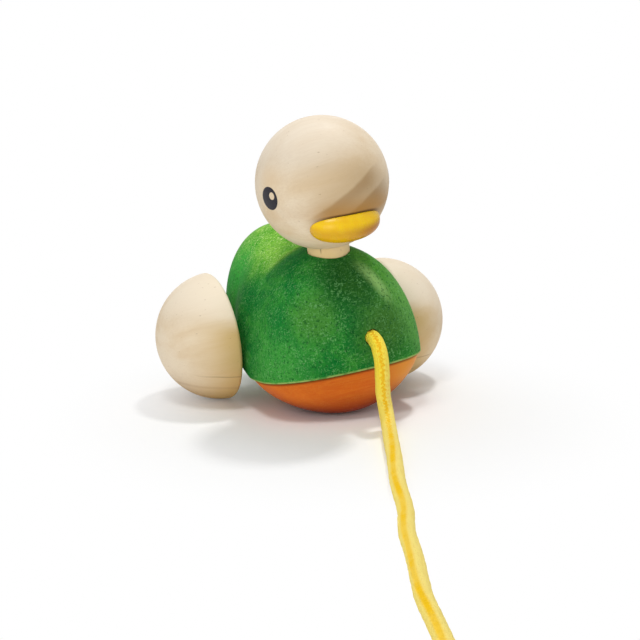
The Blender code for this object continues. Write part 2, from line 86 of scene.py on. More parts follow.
def roll(points):
    """Turn by the lean about Y: x' = x cos - z sin, z' = x sin + z cos."""
    x, y, z = np.moveaxis(np.asarray(points, float), -1, 0)
    cos, sin = math.cos(LEAN), math.sin(LEAN)
    return pile(cos * x - sin * z, y, sin * x + cos * z)


def stand(points):
    """Duck's frame in mm to the row frame in m: the lean, then the axle's place."""
    return (roll(points) + AXLE) * MM


print("axle at", AXLE.round(3).tolist(), "mm, leaning", round(math.degrees(LEAN), 2), "degrees")

# %% [markdown]
# ## The camera
# The photograph was matched by its outlines: a long lens from the front, a little to the
# duck's right and a little above. A focal length in pixels becomes a lens in millimetres
# through the width of the sensor.

# %% Camera
VIEW_AZIMUTH, VIEW_ELEVATION, VIEW_DISTANCE = math.radians(-23.91), math.radians(13.29), 720.0
VIEW_AIM = AXLE + (7.94, 0.0, 2.03)
FOCAL_PIXELS, IMAGE_PIXELS, CLIP_NEAR = 1794, 640, 0.01


def looking(name, data, place, aim):
    """Object at place that looks at aim: for (x, y, z) from aim to place, it tilts by
    atan2(|x, y|, z) and turns by atan2(x, -y).
    """
    x, y, z = np.asarray(place) - aim
    thing = bpy.data.objects.new(name, data)
    thing.location = place
    thing.rotation_euler = (math.atan2(math.hypot(x, y), z), 0, math.atan2(x, -y))
    bpy.context.collection.objects.link(thing)
    return thing


sideways, forwards = math.sin(VIEW_AZIMUTH), -math.cos(VIEW_AZIMUTH)
level, high = math.cos(VIEW_ELEVATION), math.sin(VIEW_ELEVATION)
viewpoint = VIEW_AIM + np.array((sideways * level, forwards * level, high)) * VIEW_DISTANCE
camera = looking("camera", bpy.data.cameras.new("camera"), viewpoint * MM, VIEW_AIM * MM)
camera.data.lens = camera.data.sensor_width * FOCAL_PIXELS / IMAGE_PIXELS
camera.data.clip_start = CLIP_NEAR
bpy.context.scene.camera = camera
print("lens", round(camera.data.lens, 1), "mm")

# %% [markdown]
# ## From a grid of points to a piece
# Every new surface here is a grid: rows run one way over the piece and columns the other.
# A row that shrinks to a point is a pole, and a last column that repeats the first is a seam.
# Merging equal points closes both, and recalculating the normals turns the skin outwards.

# %% Grid helpers
MERGE_WITHIN, MOST_ROUNDED = 2e-6, 0.45


def grid_object(name, points, along=None):
    """Mesh object from a (rows, columns, 3) grid in metres, closed where its points meet.

    Its quads are (i, j), (i, j+1), (i+1, j+1), (i+1, j). along is an optional (rows, columns, 2)
    grid kept as the UV map "along".
    """
    corner = np.arange(points[..., 0].size).reshape(points.shape[:2])
    faces = pile(corner[:-1, :-1], corner[:-1, 1:], corner[1:, 1:], corner[1:, :-1]).reshape(-1, 4)
    mesh = bpy.data.meshes.new(name)
    mesh.from_pydata(points.reshape(-1, 3).tolist(), [], faces.tolist())
    if along is not None:
        layer = mesh.uv_layers.new(name="along")
        layer.data.foreach_set("uv", along.reshape(-1, 2)[faces.ravel()].astype(np.float32).ravel())
    skin = bmesh.new()
    skin.from_mesh(mesh)
    bmesh.ops.remove_doubles(skin, verts=skin.verts, dist=MERGE_WITHIN)
    bmesh.ops.recalc_face_normals(skin, faces=skin.faces)
    skin.to_mesh(mesh)
    skin.free()
    thing = bpy.data.objects.new(name, mesh)
    bpy.context.collection.objects.link(thing)
    print(name, len(mesh.polygons), "faces")
    return thing


def around(count):
    """Angles of a full turn whose last repeats the first."""
    return np.linspace(0, TURN, count + 1)


def turned_grid(profile, columns=128):
    """Rows of circles about Z from (radius, height) pairs: (r cos a, r sin a, h)."""
    radius, height = np.asarray(profile, float).T[:, :, None]
    angle = around(columns)
    return pile(radius * np.cos(angle), radius * np.sin(angle), height)


def rounded(profile, radius, steps=4):
    """Round the inner corners of a (r, h) outline: a quadratic curve from side to side of each."""
    corners = np.asarray(profile, float)
    share = np.linspace(0, 1, steps + 1)[:, None]
    pieces = [corners[:1]]
    for before, corner, after in zip(corners, corners[1:], corners[2:]):
        way_in, way_out = before - corner, after - corner
        start = corner + way_in * min(radius / np.linalg.norm(way_in), MOST_ROUNDED)
        end = corner + way_out * min(radius / np.linalg.norm(way_out), MOST_ROUNDED)
        pieces.append((1 - share) ** 2 * start + 2 * share * (1 - share) * corner + share ** 2 * end)
    return np.vstack(pieces + [corners[-1:]])


def arc(centre, radius, start, end, steps):
    """Points centre + radius (cos, sin) between two angles in degrees."""
    angle = np.radians(np.linspace(start, end, steps))
    return pile(centre[0] + radius * np.cos(angle), centre[1] + radius * np.sin(angle))


def aimed(points, way):
    """Turn points made about +Z so that +Z lies along the unit vector way."""
    way = np.asarray(way, float)
    side = unit(np.cross(way, X_WAY if abs(way[0]) < 0.9 else Y_WAY))
    return points[..., :1] * side + points[..., 1:2] * np.cross(way, side) + points[..., 2:] * way

# %% Cutting and dressing
def cut(target, *tools):
    """Take the tools' volumes out of the target with exact Booleans, and keep the result as its mesh."""
    for tool in tools:
        step = target.modifiers.new(tool.name, "BOOLEAN")
        step.object = tool
        step.operation = "DIFFERENCE"
        step.solver = "EXACT"
    bpy.context.view_layer.update()
    ready = target.evaluated_get(bpy.context.evaluated_depsgraph_get())
    mesh = bpy.data.meshes.new_from_object(ready)
    target.modifiers.clear()
    target.data = mesh
    for tool in tools:
        bpy.data.objects.remove(tool)
    print(target.name, "cut to", len(mesh.polygons), "faces")


def dress(piece, material, slot, body, *nodes, crease=30):
    """Finish a piece: smooth shading with creases, its material and its body, and hide its nodes; the slot
    is only printed.
    """
    piece.data.materials.clear()
    piece.data.materials.append(material)
    piece.data.shade_smooth()
    piece.data.set_sharp_from_angle(angle=math.radians(crease))
    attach(piece, body)
    if nodes:
        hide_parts(*nodes)
    print(piece.name, "dressed as", slot, "on", body)

# %% [markdown]
# ## Writing materials
# A finish is a graph of many small nodes, and it reads best as sums. So every output of a node
# is kept as a value that can be added, multiplied, faded or mixed, and each such step makes the
# node for it. Colours are written as the sRGB numbers a paint chart would give, and turned into
# the linear values Blender uses. Every finish is built like a real one: a plain colour first,
# and then stains that are laid over it through masks.

# %% Node graph helper
def paint(tone):
    """sRGB tone from 0 to 255 to linear: v / 12.92 below 0.04045, else ((v + 0.055) / 1.055) ** 2.4."""
    value = np.array(tone) / 255
    linear = np.where(value <= 0.04045, value / 12.92, ((value + 0.055) / 1.055) ** 2.4)
    return (*linear.tolist(), 1.0)


class Graph:
    """A node tree: nodes are added with their inputs given by name or number, colours as sRGB tones."""

    def __init__(self, tree):
        self.tree = tree

    def feed(self, sockets, values):
        for key, value in values.items():
            if isinstance(value, Value):
                self.tree.links.new(value.socket, sockets[key])
            elif value is not None:
                sockets[key].default_value = paint(value) if sockets[key].type == "RGBA" else value

    def add_all(self, kind, inputs, **settings):
        node = self.tree.nodes.new("ShaderNode" + kind)
        for key, value in settings.items():
            setattr(node, key, value)
        self.feed(node.inputs, inputs)
        return {socket.identifier: Value(self, socket) for socket in node.outputs}

    def add(self, kind, inputs, out=None, **settings):
        outputs = self.add_all(kind, inputs, **settings)
        return outputs[out] if out else next(iter(outputs.values()))

# %% Values to reckon with
class Value:
    """A node's output to reckon with, as with a number or a vector: every step adds one node."""

    def __init__(self, graph, socket):
        self.graph = graph
        self.socket = socket

    def math(self, operation, other=None):
        return self.graph.add("Math", {0: self, 1: other}, operation=operation)

    __add__ = partialmethod(math, "ADD")
    __sub__ = partialmethod(math, "SUBTRACT")
    __mul__ = partialmethod(math, "MULTIPLY")
    __truediv__ = partialmethod(math, "DIVIDE")
    __pow__ = partialmethod(math, "POWER")
    __abs__ = partialmethod(math, "ABSOLUTE")

    def vector(self, operation, other=None, out=None):
        return self.graph.add("VectorMath", {0: self, 1: other}, out, operation=operation)

    off = partialmethod(vector, "SUBTRACT")
    along = partialmethod(vector, "DOT_PRODUCT", out="Value")
    distance = partialmethod(vector, "DISTANCE", out="Value")

    def parts(self):
        return self.graph.add_all("SeparateXYZ", {0: self}).values()

    def masks(self, tree):
        return self.graph.add_all("Group", {"Vector": self}, node_tree=tree).values()

    def noise(self, scale, detail=2.0, roughness=0.5, distortion=0.0):
        """Noise from 0 to 1; three scales stretch it along the axes."""
        if isinstance(scale, tuple):
            return self.vector("MULTIPLY", scale).noise(1.0, detail, roughness, distortion)
        values = {"Vector": self, "Scale": scale, "Detail": detail, "Roughness": roughness,
                  "Distortion": distortion}
        return self.graph.add("TexNoise", values, "Fac")

    def fade(self, start, end, high=1.0, low=0.0):
        """Smooth step from low at start to high at end."""
        values = {"Value": self, "From Min": start, "From Max": end, "To Min": low, "To Max": high}
        return self.graph.add("MapRange", values, interpolation_type="SMOOTHSTEP")

    def mix(self, a, b):
        return self.graph.add("Mix", {0: self, 6: a, 7: b}, "Result_Color", data_type="RGBA")

    def bump(self, strength, depth):
        return self.graph.add("Bump", {"Height": self, "Strength": strength, "Distance": depth})


def lay(colour, *stains):
    """Lay (mask, colour) stains over a colour, one after the other."""
    for mask, stain in stains:
        colour = mask.mix(colour, stain)
    return colour

# %% Finishes and mask groups
def new_material(name):
    """A new material and the graph of its nodes."""
    material = bpy.data.materials.new(name)
    material.use_nodes = True
    print("material", name)
    return material, Graph(material.node_tree)


def finish(name, recipe):
    """Material whose shader takes the inputs that recipe(place) gives.

    place is the Object coordinates turned into the duck's own frame, in millimetres.
    """
    material, graph = new_material(name)
    stance = {"Vector": graph.add("TexCoord", {}, "Object"), "Location": (AXLE * MM).tolist(),
              "Rotation": (0, -LEAN, 0), "Scale": (MM, MM, MM)}
    place = graph.add("Mapping", stance, vector_type="TEXTURE")
    graph.feed(graph.tree.nodes["Principled BSDF"].inputs, recipe(place))
    return material


def mask_group(name, recipe):
    """Shader node group whose outputs are the masks that recipe(vector) gives."""
    tree = bpy.data.node_groups.new(name, "ShaderNodeTree")
    tree.interface.new_socket("Vector", in_out="INPUT", socket_type="NodeSocketVector")
    graph = Graph(tree)
    masks = recipe(Value(graph, tree.nodes.new("NodeGroupInput").outputs["Vector"]))
    for mask in masks:
        tree.interface.new_socket(mask, in_out="OUTPUT", socket_type="NodeSocketFloat")
    graph.feed(tree.nodes.new("NodeGroupOutput").inputs, masks)
    print("group", name, "gives", *masks)
    return tree


def mottled(noise, start, tones, shine, relief, more):
    """Recipe of a plain finish: one noise drifts between two tones and between two roughnesses."""
    def recipe(place):
        grain = place.noise(*noise)
        return {"Base Color": grain.fade(start, 0.7).mix(*tones),
                "Roughness": grain.fade(0.3, 0.7, low=shine[0], high=shine[1]),
                "Normal": grain.bump(*relief), **more}
    return recipe

# %% [markdown]
# ## Turned wood
# The head, neck, wheels and spacers are a pale, close-grained wood. Along the grain its tone
# drifts in broad soft bands, fine fibres run lengthwise, and short dark pores are scattered
# like pencil ticks. All three are noise squeezed across the grain, so one group gives the
# masks and each material chooses its colours. The grain runs along X of the vector it is fed.

# %% Wood grain group
def wood_grain(vector):
    """Band, fibre and pore masks of the grain."""
    band = vector.noise((0.012, 0.075, 0.075), 3.0, 0.55, 0.3)
    pore = vector.noise((0.42, 1.35, 1.35), 1.0, 0.4)
    return {"Band": band.fade(0.36, 0.66), "Fibre": vector.noise((0.09, 1.5, 1.5), 3.0, 0.6),
            "Pore": pore.fade(0.74, 0.81)}


def pale_wood(grain_turn, marks, fibres=0.13):
    """Recipe of clear-lacquered pale wood, its grain turned and its fibres as strong as given.

    marks(place) gives the (mask, colour) stains that lie over the plain wood.
    """
    def recipe(place):
        grain = place.graph.add("Mapping", {"Vector": place, "Rotation": grain_turn}, vector_type="POINT")
        band, fibre, pore = grain.masks(GRAIN)
        colour = lay(band.mix((243, 226, 199), (231, 207, 171)),
                     (fibre.fade(0.3, 0.75, fibres), (208, 180, 142)), *marks(place),
                     (pore * 0.42, (158, 124, 86)))
        return {"Base Color": colour, "Roughness": fibre.fade(0.2, 0.8, low=0.46, high=0.58),
                "Normal": (fibre * 0.25 - pore).bump(0.25, 0.00012), "Specular IOR Level": 0.18}
    return recipe


GRAIN = mask_group("wood_grain", wood_grain)

# %% [markdown]
# ## The body's form
# The body is one smooth form drawn as sections along its length: round and wide at the breast,
# narrower at the rump, with a dip in the back. Each section is an ellipse above its widest
# level and a fuller bowl below it. Both ends are rounded caps. The same function gives the
# shell, its hollow and, drawn in a little, the belly under the seam.

# %% Sections of the body
BODY_FRONT, CHEST_STATION, FLANK_STATION, RUMP_STATION, BODY_REAR = 54.2, 31.5, 14.0, 8.0, 38.0
CHEST_WIDTH, RUMP_WIDTH = 66.4, 51.0
CHEST_TOP, RUMP_TOP, BACK_DIP = 39.5, 41.0, 3.0
KEEL, RUMP_BOTTOM, RUMP_WIDEST, TAIL_HEIGHT = -24.71, 8.5, 4.0, 18.0
BREAST_PLAN, BREAST_PROFILE, KEEL_PROFILE, TAIL_ROUND, BOWL_POWER = 2.6, 2.7, 3.3, 2.2, 4 / 3
SEAM_BELOW_AXLE, SEAM_PITCH, SEAM_LIP = 11.7, math.radians(6.8), 0.4
SHELL_WALL, BELLY_OVERHANG, GLUE_GAP = 5.0, 1.0, 0.3
HALVINGS, HARDLY = 50, 1e-6


def seam(y):
    """Level of the seam plane: it rises towards the breast."""
    return -SEAM_BELOW_AXLE - math.tan(SEAM_PITCH) * y


def rounded_end(share, power):
    """1 where an end begins and 0 at its tip: (1 - share ** power) ** (1 / power)."""
    return np.clip(1 - np.clip(share, 0, 1) ** power, 0, 1) ** (1 / power)


def smooth_step(value):
    """3 v ** 2 - 2 v ** 3 between 0 and 1."""
    value = np.clip(value, 0, 1)
    return value * value * (3 - 2 * value)


def section(y, side=0.0, upright=0.0):
    """Half width, top, bottom and widest level at the stations y, inset by side and upright."""
    share = np.clip((y + CHEST_STATION) / (RUMP_STATION + CHEST_STATION), 0, 1)
    aft = smooth_step(share)
    narrow = smooth_step((y + FLANK_STATION) / (RUMP_STATION + FLANK_STATION))
    half = CHEST_WIDTH / 2 + (RUMP_WIDTH - CHEST_WIDTH) / 2 * narrow - side
    top = CHEST_TOP + (RUMP_TOP - CHEST_TOP) * aft - BACK_DIP * np.sin(math.pi * share) ** 2 - upright
    bottom = KEEL + (-RUMP_BOTTOM - KEEL) * aft + upright
    girdle = seam(y) + SEAM_LIP
    widest = girdle + (RUMP_WIDEST - girdle) * aft
    front = (-CHEST_STATION - y) / (BODY_FRONT - side - CHEST_STATION)
    rear = (y - RUMP_STATION) / (BODY_REAR - side - RUMP_STATION)
    breast = seam(-BODY_FRONT) + SEAM_LIP
    tail = rounded_end(rear, TAIL_ROUND)
    half = half * rounded_end(front, BREAST_PLAN) * tail
    levels = []
    for level, power in ((top, BREAST_PROFILE), (bottom, KEEL_PROFILE), (widest, KEEL_PROFILE)):
        level = np.where(front > 0, breast + (level - breast) * rounded_end(front, power), level)
        levels.append(TAIL_HEIGHT + (level - TAIL_HEIGHT) * tail)
    return (half, *levels)

# %% Rings and stations
def ring(sections, angle):
    """Points of the sections at an angle from the widest level: half cos, and level by sin or its power."""
    half, top, bottom, widest = (value[:, None] for value in sections)
    sin = np.sin(angle)
    over = widest + (top - widest) * np.clip(sin, 0, 1)
    under = (widest - bottom) * np.clip(-sin, 0, 1) ** BOWL_POWER
    return half * np.cos(angle), over - under


def angle_at(sections, level):
    """Angle of the right-hand side of each section at a level, from -90 degrees up."""
    half, top, bottom, widest = sections
    above = np.clip((level - widest) / np.maximum(top - widest, HARDLY), 0, 1)
    below = np.clip((widest - level) / np.maximum(widest - bottom, HARDLY), 0, 1) ** (1 / BOWL_POWER)
    return np.arcsin(np.where(level > widest, above, -below))


def stations(front, rear, count):
    """Stations from front to rear, closer together at both ends: a cosine spacing."""
    return (front + rear) / 2 - (rear - front) / 2 * np.cos(np.linspace(0, math.pi, count))


def crossing(test, low, high):
    """Place between low and high where test changes from False to True, by halving."""
    for _ in range(HALVINGS):
        middle = (low + high) / 2
        low, high = (low, middle) if test(middle) else (middle, high)
    return high


print("body from", -BODY_FRONT, "to", BODY_REAR, "mm, seam at", round(seam(0.0), 2), "mm under the axle")

# %% [markdown]
# ## The pull cord
# A soft knitted cord leaves a hole in the breast, hangs down and runs along the floor towards
# the child's hand. The photograph shows its first stretch; the rest is put away in a small
# tied coil just outside the picture and ends in a knot. The route's points are joined by one
# smooth curve, and a tube of rings follows it. The tube is a little uneven and has a shallow
# groove along it, which is what makes it a cord and not a wire.

# %% Cord sizes
CORD_DIAMETER, CORD_LENGTH = 5.6, 0.66
CORD_RADIUS = CORD_DIAMETER / 2
CORD_HOLE_SIDE, CORD_HOLE_HEIGHT, CORD_HOLE_GAP = 6.3, 6.6, 0.4
KNOT_DIAMETER, KNOT_LENGTH, KNOT_SEAT, KNOT_STRAND = 12.0, 10.0, 0.8, 0.185
COIL_CENTRE, COIL_DIAMETER, COIL_TURNS = np.array((-118.7, -280.0, 0.0)), 60.0, 2
COIL_STEPS, COIL_INWARD, CORD_HEADING = 24, math.radians(600), math.radians(252)
TIE_THICKNESS = 0.5
CURVE_STEPS, RING_SPACING = 40, 0.7
HANG = ((0, 0, 0), (-0.2, -1.2, 0), (-1, -6.7, 0.05), (-1.6, -10.7, 0.18), (-1.8, -12.2, 0.36),
        (-1.7, -12.4, 0.5), (-1.5, -12.6, 0.64), (-1.2, -14.1, 0.82), (-2.2, -18.1, 0.95), (-4.2, -23.6, 1))
LYING = ((-3.3, -76.6), (-11, -94.9), (-22.7, -121.6), (-32.2, -146), (-41, -164.6), (-48.4, -184.3),
         (-54.6, -199.5), (-60.2, -213.5), (-64.5, -227.3), (-68.7, -241))


def in_breast(y):
    """True where the station y is wide enough to hold the cord hole's centre."""
    one = section(np.array([y]))
    x, _ = ring(one, angle_at(one, np.array([CORD_HOLE_HEIGHT]))[:, None])
    return one[3][0] < CORD_HOLE_HEIGHT < one[1][0] and x[0, 0] > CORD_HOLE_SIDE


def smooth_curve(route, spacing):
    """Catmull-Rom curve through the route's points, read at an even spacing.

    Between b and c, with neighbours a and d, it is half of
    2 b + (c - a) t + (2 a - 5 b + 4 c - d) t ** 2 + (3 b - a - 3 c + d) t ** 3.
    """
    padded = np.vstack((2 * route[0] - route[1], route, 2 * route[-1] - route[-2]))
    a, b, c, d = (padded[i:len(padded) - 3 + i, None, :] for i in range(4))
    t = np.linspace(0, 1, CURVE_STEPS, endpoint=False)[None, :, None]
    bend, twist = 2 * a - 5 * b + 4 * c - d, 3 * b - a - 3 * c + d
    fine = 0.5 * (2 * b + (c - a) * t + bend * t ** 2 + twist * t ** 3)
    fine = np.vstack((fine.reshape(-1, 3), route[-1:]))
    length = np.concatenate(([0], np.cumsum(np.linalg.norm(np.diff(fine, axis=0), axis=1))))
    places = np.linspace(0, length[-1], int(length[-1] / spacing) + 1)
    return np.column_stack([np.interp(places, length, fine[:, i]) for i in range(3)]), places

# %% Cord route
hole_face = crossing(in_breast, -BODY_FRONT, -CHEST_STATION)
cord_exit = roll((CORD_HOLE_SIDE, hole_face, CORD_HOLE_HEIGHT)) + AXLE
heading = np.array((math.cos(CORD_HEADING), math.sin(CORD_HEADING), 0))
abreast = np.array((-heading[1], heading[0], 0))
coil_lift = CORD_RADIUS + TIE_THICKNESS + GLUE_GAP
coil_outer = COIL_DIAMETER / 2 + COIL_TURNS * CORD_RADIUS
coil_hole = coil_outer - (COIL_TURNS + 0.5) * CORD_DIAMETER
knot_reach = coil_hole - GLUE_GAP - KNOT_DIAMETER / 2
short = math.sqrt((coil_outer + CORD_DIAMETER + GLUE_GAP) ** 2 - coil_outer ** 2)

inside = cord_exit + (0, SHELL_WALL + KNOT_SEAT, 0)
fall = cord_exit[2] - CORD_RADIUS
hanging = cord_exit + np.array([(x, y, -share * fall) for x, y, share in HANG])
lying = np.array([(x, y, CORD_RADIUS) for x, y in LYING])
arrival = COIL_CENTRE + abreast * coil_outer - heading * short + (0, 0, CORD_RADIUS)
wound = np.linspace(0, TURN * COIL_TURNS, COIL_STEPS * COIL_TURNS + 1)
inward = smooth_step((wound - COIL_INWARD) / (wound[-1] - COIL_INWARD))
spiral = (coil_outer - CORD_DIAMETER * wound / TURN) * (1 - inward) + knot_reach * inward
bearing = CORD_HEADING + math.pi / 2 - wound
coil = COIL_CENTRE + pile(spiral * np.cos(bearing), spiral * np.sin(bearing),
                          coil_lift + inward * (KNOT_DIAMETER / 2 - coil_lift))
route = np.vstack((inside - (0, GLUE_GAP, 0), hanging, lying, arrival, coil))
cord_path, cord_along = smooth_curve(route, RING_SPACING)
print("cord", round(cord_along[-1]), "mm along", len(cord_path), "rings")

# %% Cord tube
CORD_COLUMNS, FLAT_AFTER, CORD_FLOOR = 44, 45.0, 0.02
CORD_GIRTH, GROOVE_WIDTH, GROOVE_DEPTH = 0.985, 0.26, 0.10


def tube_grid(path, tangent, normal, radius, angle):
    """Rings about a path: path + radius (normal cos a + (tangent x normal) sin a)."""
    tangent = unit(tangent)
    normal = unit(normal - (normal * tangent).sum(1)[:, None] * tangent)
    across = np.cross(tangent, normal)
    rings = normal[:, None] * np.cos(angle)[..., None] + across[:, None] * np.sin(angle)[..., None]
    return path[:, None] + radius * rings


def with_ends(grid):
    """A grid of rings with its first and last ring drawn together to points."""
    first, last = (grid[i].mean(0) + 0 * grid[i] for i in (0, -1))
    return np.concatenate((first[None], grid, last[None]))


def cord_tube():
    """Grid of the cord in mm, and its map: the angle from the groove and the distance s along.

    The groove wanders about the cord as a sum of slow sines of s, and its depth falls off as
    exp(-(angle / width) ** 2). Quicker sines make the girth uneven by a few hundredths.
    """
    s, angle = cord_along[:, None], around(CORD_COLUMNS)[None, :]
    wander = 0.15 + 0.35 * smooth_step((s - 40) / 80) + 0.13 * np.sin(s / 13) + 0.10 * np.sin(s / 29 + 1)
    off_groove = np.angle(np.exp(1j * (angle - wander)))
    groove = np.exp(-(off_groove / GROOVE_WIDTH) ** 2) * (0.7 + 0.3 * np.sin(s / 5.3 + np.sin(s / 8)))
    plump = CORD_GIRTH + 0.035 * np.sin(s / 2.3 + 1.3 * np.sin(s / 11)) * np.cos(angle - 0.6)
    plump = plump + 0.02 * np.sin(s / 0.95 + 2 * angle) * np.sin(s / 6.1)
    girth = CORD_RADIUS * (plump - GROOVE_DEPTH * groove)
    tangent = np.gradient(cord_path, axis=0)
    groove_side = np.cross(tangent, X_WAY)
    groove_side[cord_path[:, 1] < cord_exit[1] - FLAT_AFTER] = Z_WAY
    grid = tube_grid(cord_path, tangent, groove_side, girth[..., None], angle)
    grid[..., 2] = np.maximum(grid[..., 2], CORD_FLOOR)
    unrolled = pile(off_groove, s)
    unrolled[:, 1:][np.diff(off_groove, axis=1) < -math.pi] += (TURN, 0)
    return with_ends(grid), with_ends(unrolled)


cord_grid, cord_map = cord_tube()
cord = grid_object("pull_cord", cord_grid * MM, along=cord_map)

# %% [markdown]
# The cord's material reads its own map: the angle from the groove, and the distance along in
# millimetres. Stitches are a sine along the cord, bent to chevrons on every rib, and noise
# stretched lengthwise gives the strands. The groove is golden and wavers like a sewn line,
# one side of it is painted paler where the light falls, and the yellow fades on its way to the floor.

# %% Cord material
RIBS, STITCH = 10, 1.7


def yarn(place, knit, groove, painted_lit_side, faded):
    """Yellow cotton from the height of its knit and the masks of its groove, painted lit side and fading."""
    fuzz = place.noise(2.6, 2.0, 0.7)
    sewn = knit.fade(0.0, -0.6) * painted_lit_side.fade(0.0, 1.0, low=0.35, high=0.8)
    worn = place.noise(0.11).fade(0.35, 0.6, low=0.7)
    plain = place.noise(0.06).fade(0.35, 0.65).mix((255, 227, 36), (255, 232, 62))
    colour = lay(plain, (painted_lit_side * 0.6, (255, 240, 140)), (sewn, (244, 184, 16)),
                 (faded * 0.8, (255, 233, 136)), (fuzz.fade(0.5, 0.7, 0.5), (255, 236, 120)),
                 (groove * worn, faded.mix((242, 178, 8), (252, 202, 0))))
    return {"Base Color": colour, "Roughness": fuzz.fade(0.3, 0.7, low=0.78, high=0.92),
            "Normal": (knit + fuzz * 0.5).bump(0.7, 0.0003), "Sheen Weight": 0.25, "Sheen Roughness": 0.5,
            "Sheen Tint": (255, 226, 120), "Specular IOR Level": 0.15}


def knitted_cord(place):
    """Recipe for the cord, read from its map of angle a and distance s.

    A stitch is sin 2 pi (s / STITCH + |rib - 1/2|), where rib is the fraction of a RIBS / 2 pi.
    The groove is where |a + zigzag| / half is small.
    """
    angle, along, _ = place.graph.add("UVMap", {}, uv_map="along").parts()
    off_rib = abs((angle * (RIBS / TURN)).math("FRACT") - 0.5)
    stitch = ((along * (1 / STITCH) + off_rib) * TURN).math("SINE")
    unrolled = place.graph.add("CombineXYZ", {0: angle * CORD_RADIUS, 1: along})
    strand = unrolled.noise((1.3, 0.16, 1.0), 2.0, 0.6)
    ply = unrolled.noise((1.5, 0.9, 1.0), 2.0, 0.65, 0.6)
    knit = stitch * 0.12 - off_rib * 0.5 + (strand + ply - 1.0) * 1.6
    uneven = (along * (TURN / STITCH)).math("SINE") * 0.1 + (ply - 0.5) * 1.3
    zigzag = uneven * along.fade(40.0, 90.0, low=1.0, high=0.15)
    half = along.fade(28.0, 80.0, low=0.24, high=0.46)
    groove = (abs(angle + zigzag) / half).fade(1.3, 0.35)
    # Painted light on one side of the cord, strongest near the hole.
    painted_lit_side = angle.fade(0.0, -0.5) * along.fade(14.0, 32.0, low=0.2)
    return yarn(place, knit, groove, painted_lit_side, along.fade(12.0, 60.0))


def knotted_cord(place):
    """Recipe for the knots, which have no map: soft noise takes its place."""
    return yarn(place, place.noise(1.1, 2.0, 0.6), place.noise(0.22, 1.0).fade(0.5, 0.7),
                place.noise(0.15, 1.0).fade(0.5, 0.6), place.noise(0.08, 1.0).fade(0.4, 0.6))


dress(cord, finish("knitted_cord", knitted_cord), "yellow_cord", "body", "cord_run", "cord_coil", crease=80)
CORD_KNOTTED = finish("knotted_cord", knotted_cord)

# %% [markdown]
# Both ends of the cord are stopped by an overhand knot. Its closed line is a trefoil, which
# winds twice round while it rises and falls three times, and a fat strand follows it so
# tightly that only the three crossings show. The coil is held by a narrow paper band.

# %% Knots and tie
TIE_OUTLINE = ((0.04, -1), (0, -0.94), (0, 0.94), (0.04, 1), (TIE_THICKNESS, 1), (TIE_THICKNESS, -1),
               (0.04, -1))
TIE_SQUARENESS, TIE_COLUMNS = 5, 120
KNOT_RINGS, KNOT_COLUMNS, KNOT_LEVEL = 180, 24, (1, 1, 0.2)


def overhand_knot(name, place, axis):
    """Trefoil strand: (sin t + 2 sin 2t, cos t - 2 cos 2t, -sin 3t), scaled into the knot's bead."""
    t = around(KNOT_RINGS)
    strand = KNOT_DIAMETER * KNOT_STRAND
    spread = (KNOT_DIAMETER / 2 - strand) / 3
    lift = KNOT_LENGTH / 2 - strand
    line = pile(spread * (np.sin(t) + 2 * np.sin(2 * t)), spread * (np.cos(t) - 2 * np.cos(2 * t)),
                -lift * np.sin(3 * t))
    closed = np.vstack((line[-2], line, line[1]))
    grid = tube_grid(line, closed[2:] - closed[:-2], line * KNOT_LEVEL, strand,
                     around(KNOT_COLUMNS))
    return grid_object(name, (aimed(grid, axis) + place) * MM)


def tie_grid():
    """Paper band round the coil's turns, as rounded rectangles |x / a| ** n + |z / b| ** n = 1."""
    low, high = (np.array(corner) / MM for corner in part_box("cord_tie"))
    half = (high - low) / 2
    cos, sin = np.cos(around(TIE_COLUMNS)), np.sin(around(TIE_COLUMNS))
    reach = (np.abs(cos) ** TIE_SQUARENESS + np.abs(sin) ** TIE_SQUARENESS) ** (-1 / TIE_SQUARENESS)
    rows = [pile((half[0] - inset) * reach * cos, end * half[1], (half[2] - inset) * reach * sin)
            for inset, end in TIE_OUTLINE]
    return np.stack(rows) + (low + high) / 2


stop_knot = overhand_knot("stop_knot", inside + (0, KNOT_LENGTH / 2, 0), Y_WAY)
dress(stop_knot, CORD_KNOTTED, "yellow_cord", "body", "cord_stop_knot", crease=80)
end_place = COIL_CENTRE + abreast * knot_reach + (0, 0, KNOT_DIAMETER / 2)
end_knot = overhand_knot("end_knot", end_place, heading)
dress(end_knot, CORD_KNOTTED, "yellow_cord", "body", "cord_end_knot", crease=80)
tie = grid_object("coil_tie", tie_grid() * MM)
pulp = mottled(((1.4, 0.42, 1.4), 4.0, 0.65), 0.35, ((238, 232, 218), (216, 205, 182)),
               (0.75, 0.9), (0.3, 0.0001), {})
dress(tie, finish("tie_paper", pulp), "tie_paper", "body", "cord_tie", crease=35)

# %% [markdown]
# ## The green body
# The shell is pressed wood dust, moulded to shape and sawn flat along the seam. Its skin runs
# in rings from the seam on one side, over the back, to the seam on the other, and a small
# rounded lip turns each ring into the flat underside. Behind the belly the rings close by
# themselves. The hollow, the neck's socket, the axle's drilling and the cord's hole are cut
# afterwards, as a maker would drill them.

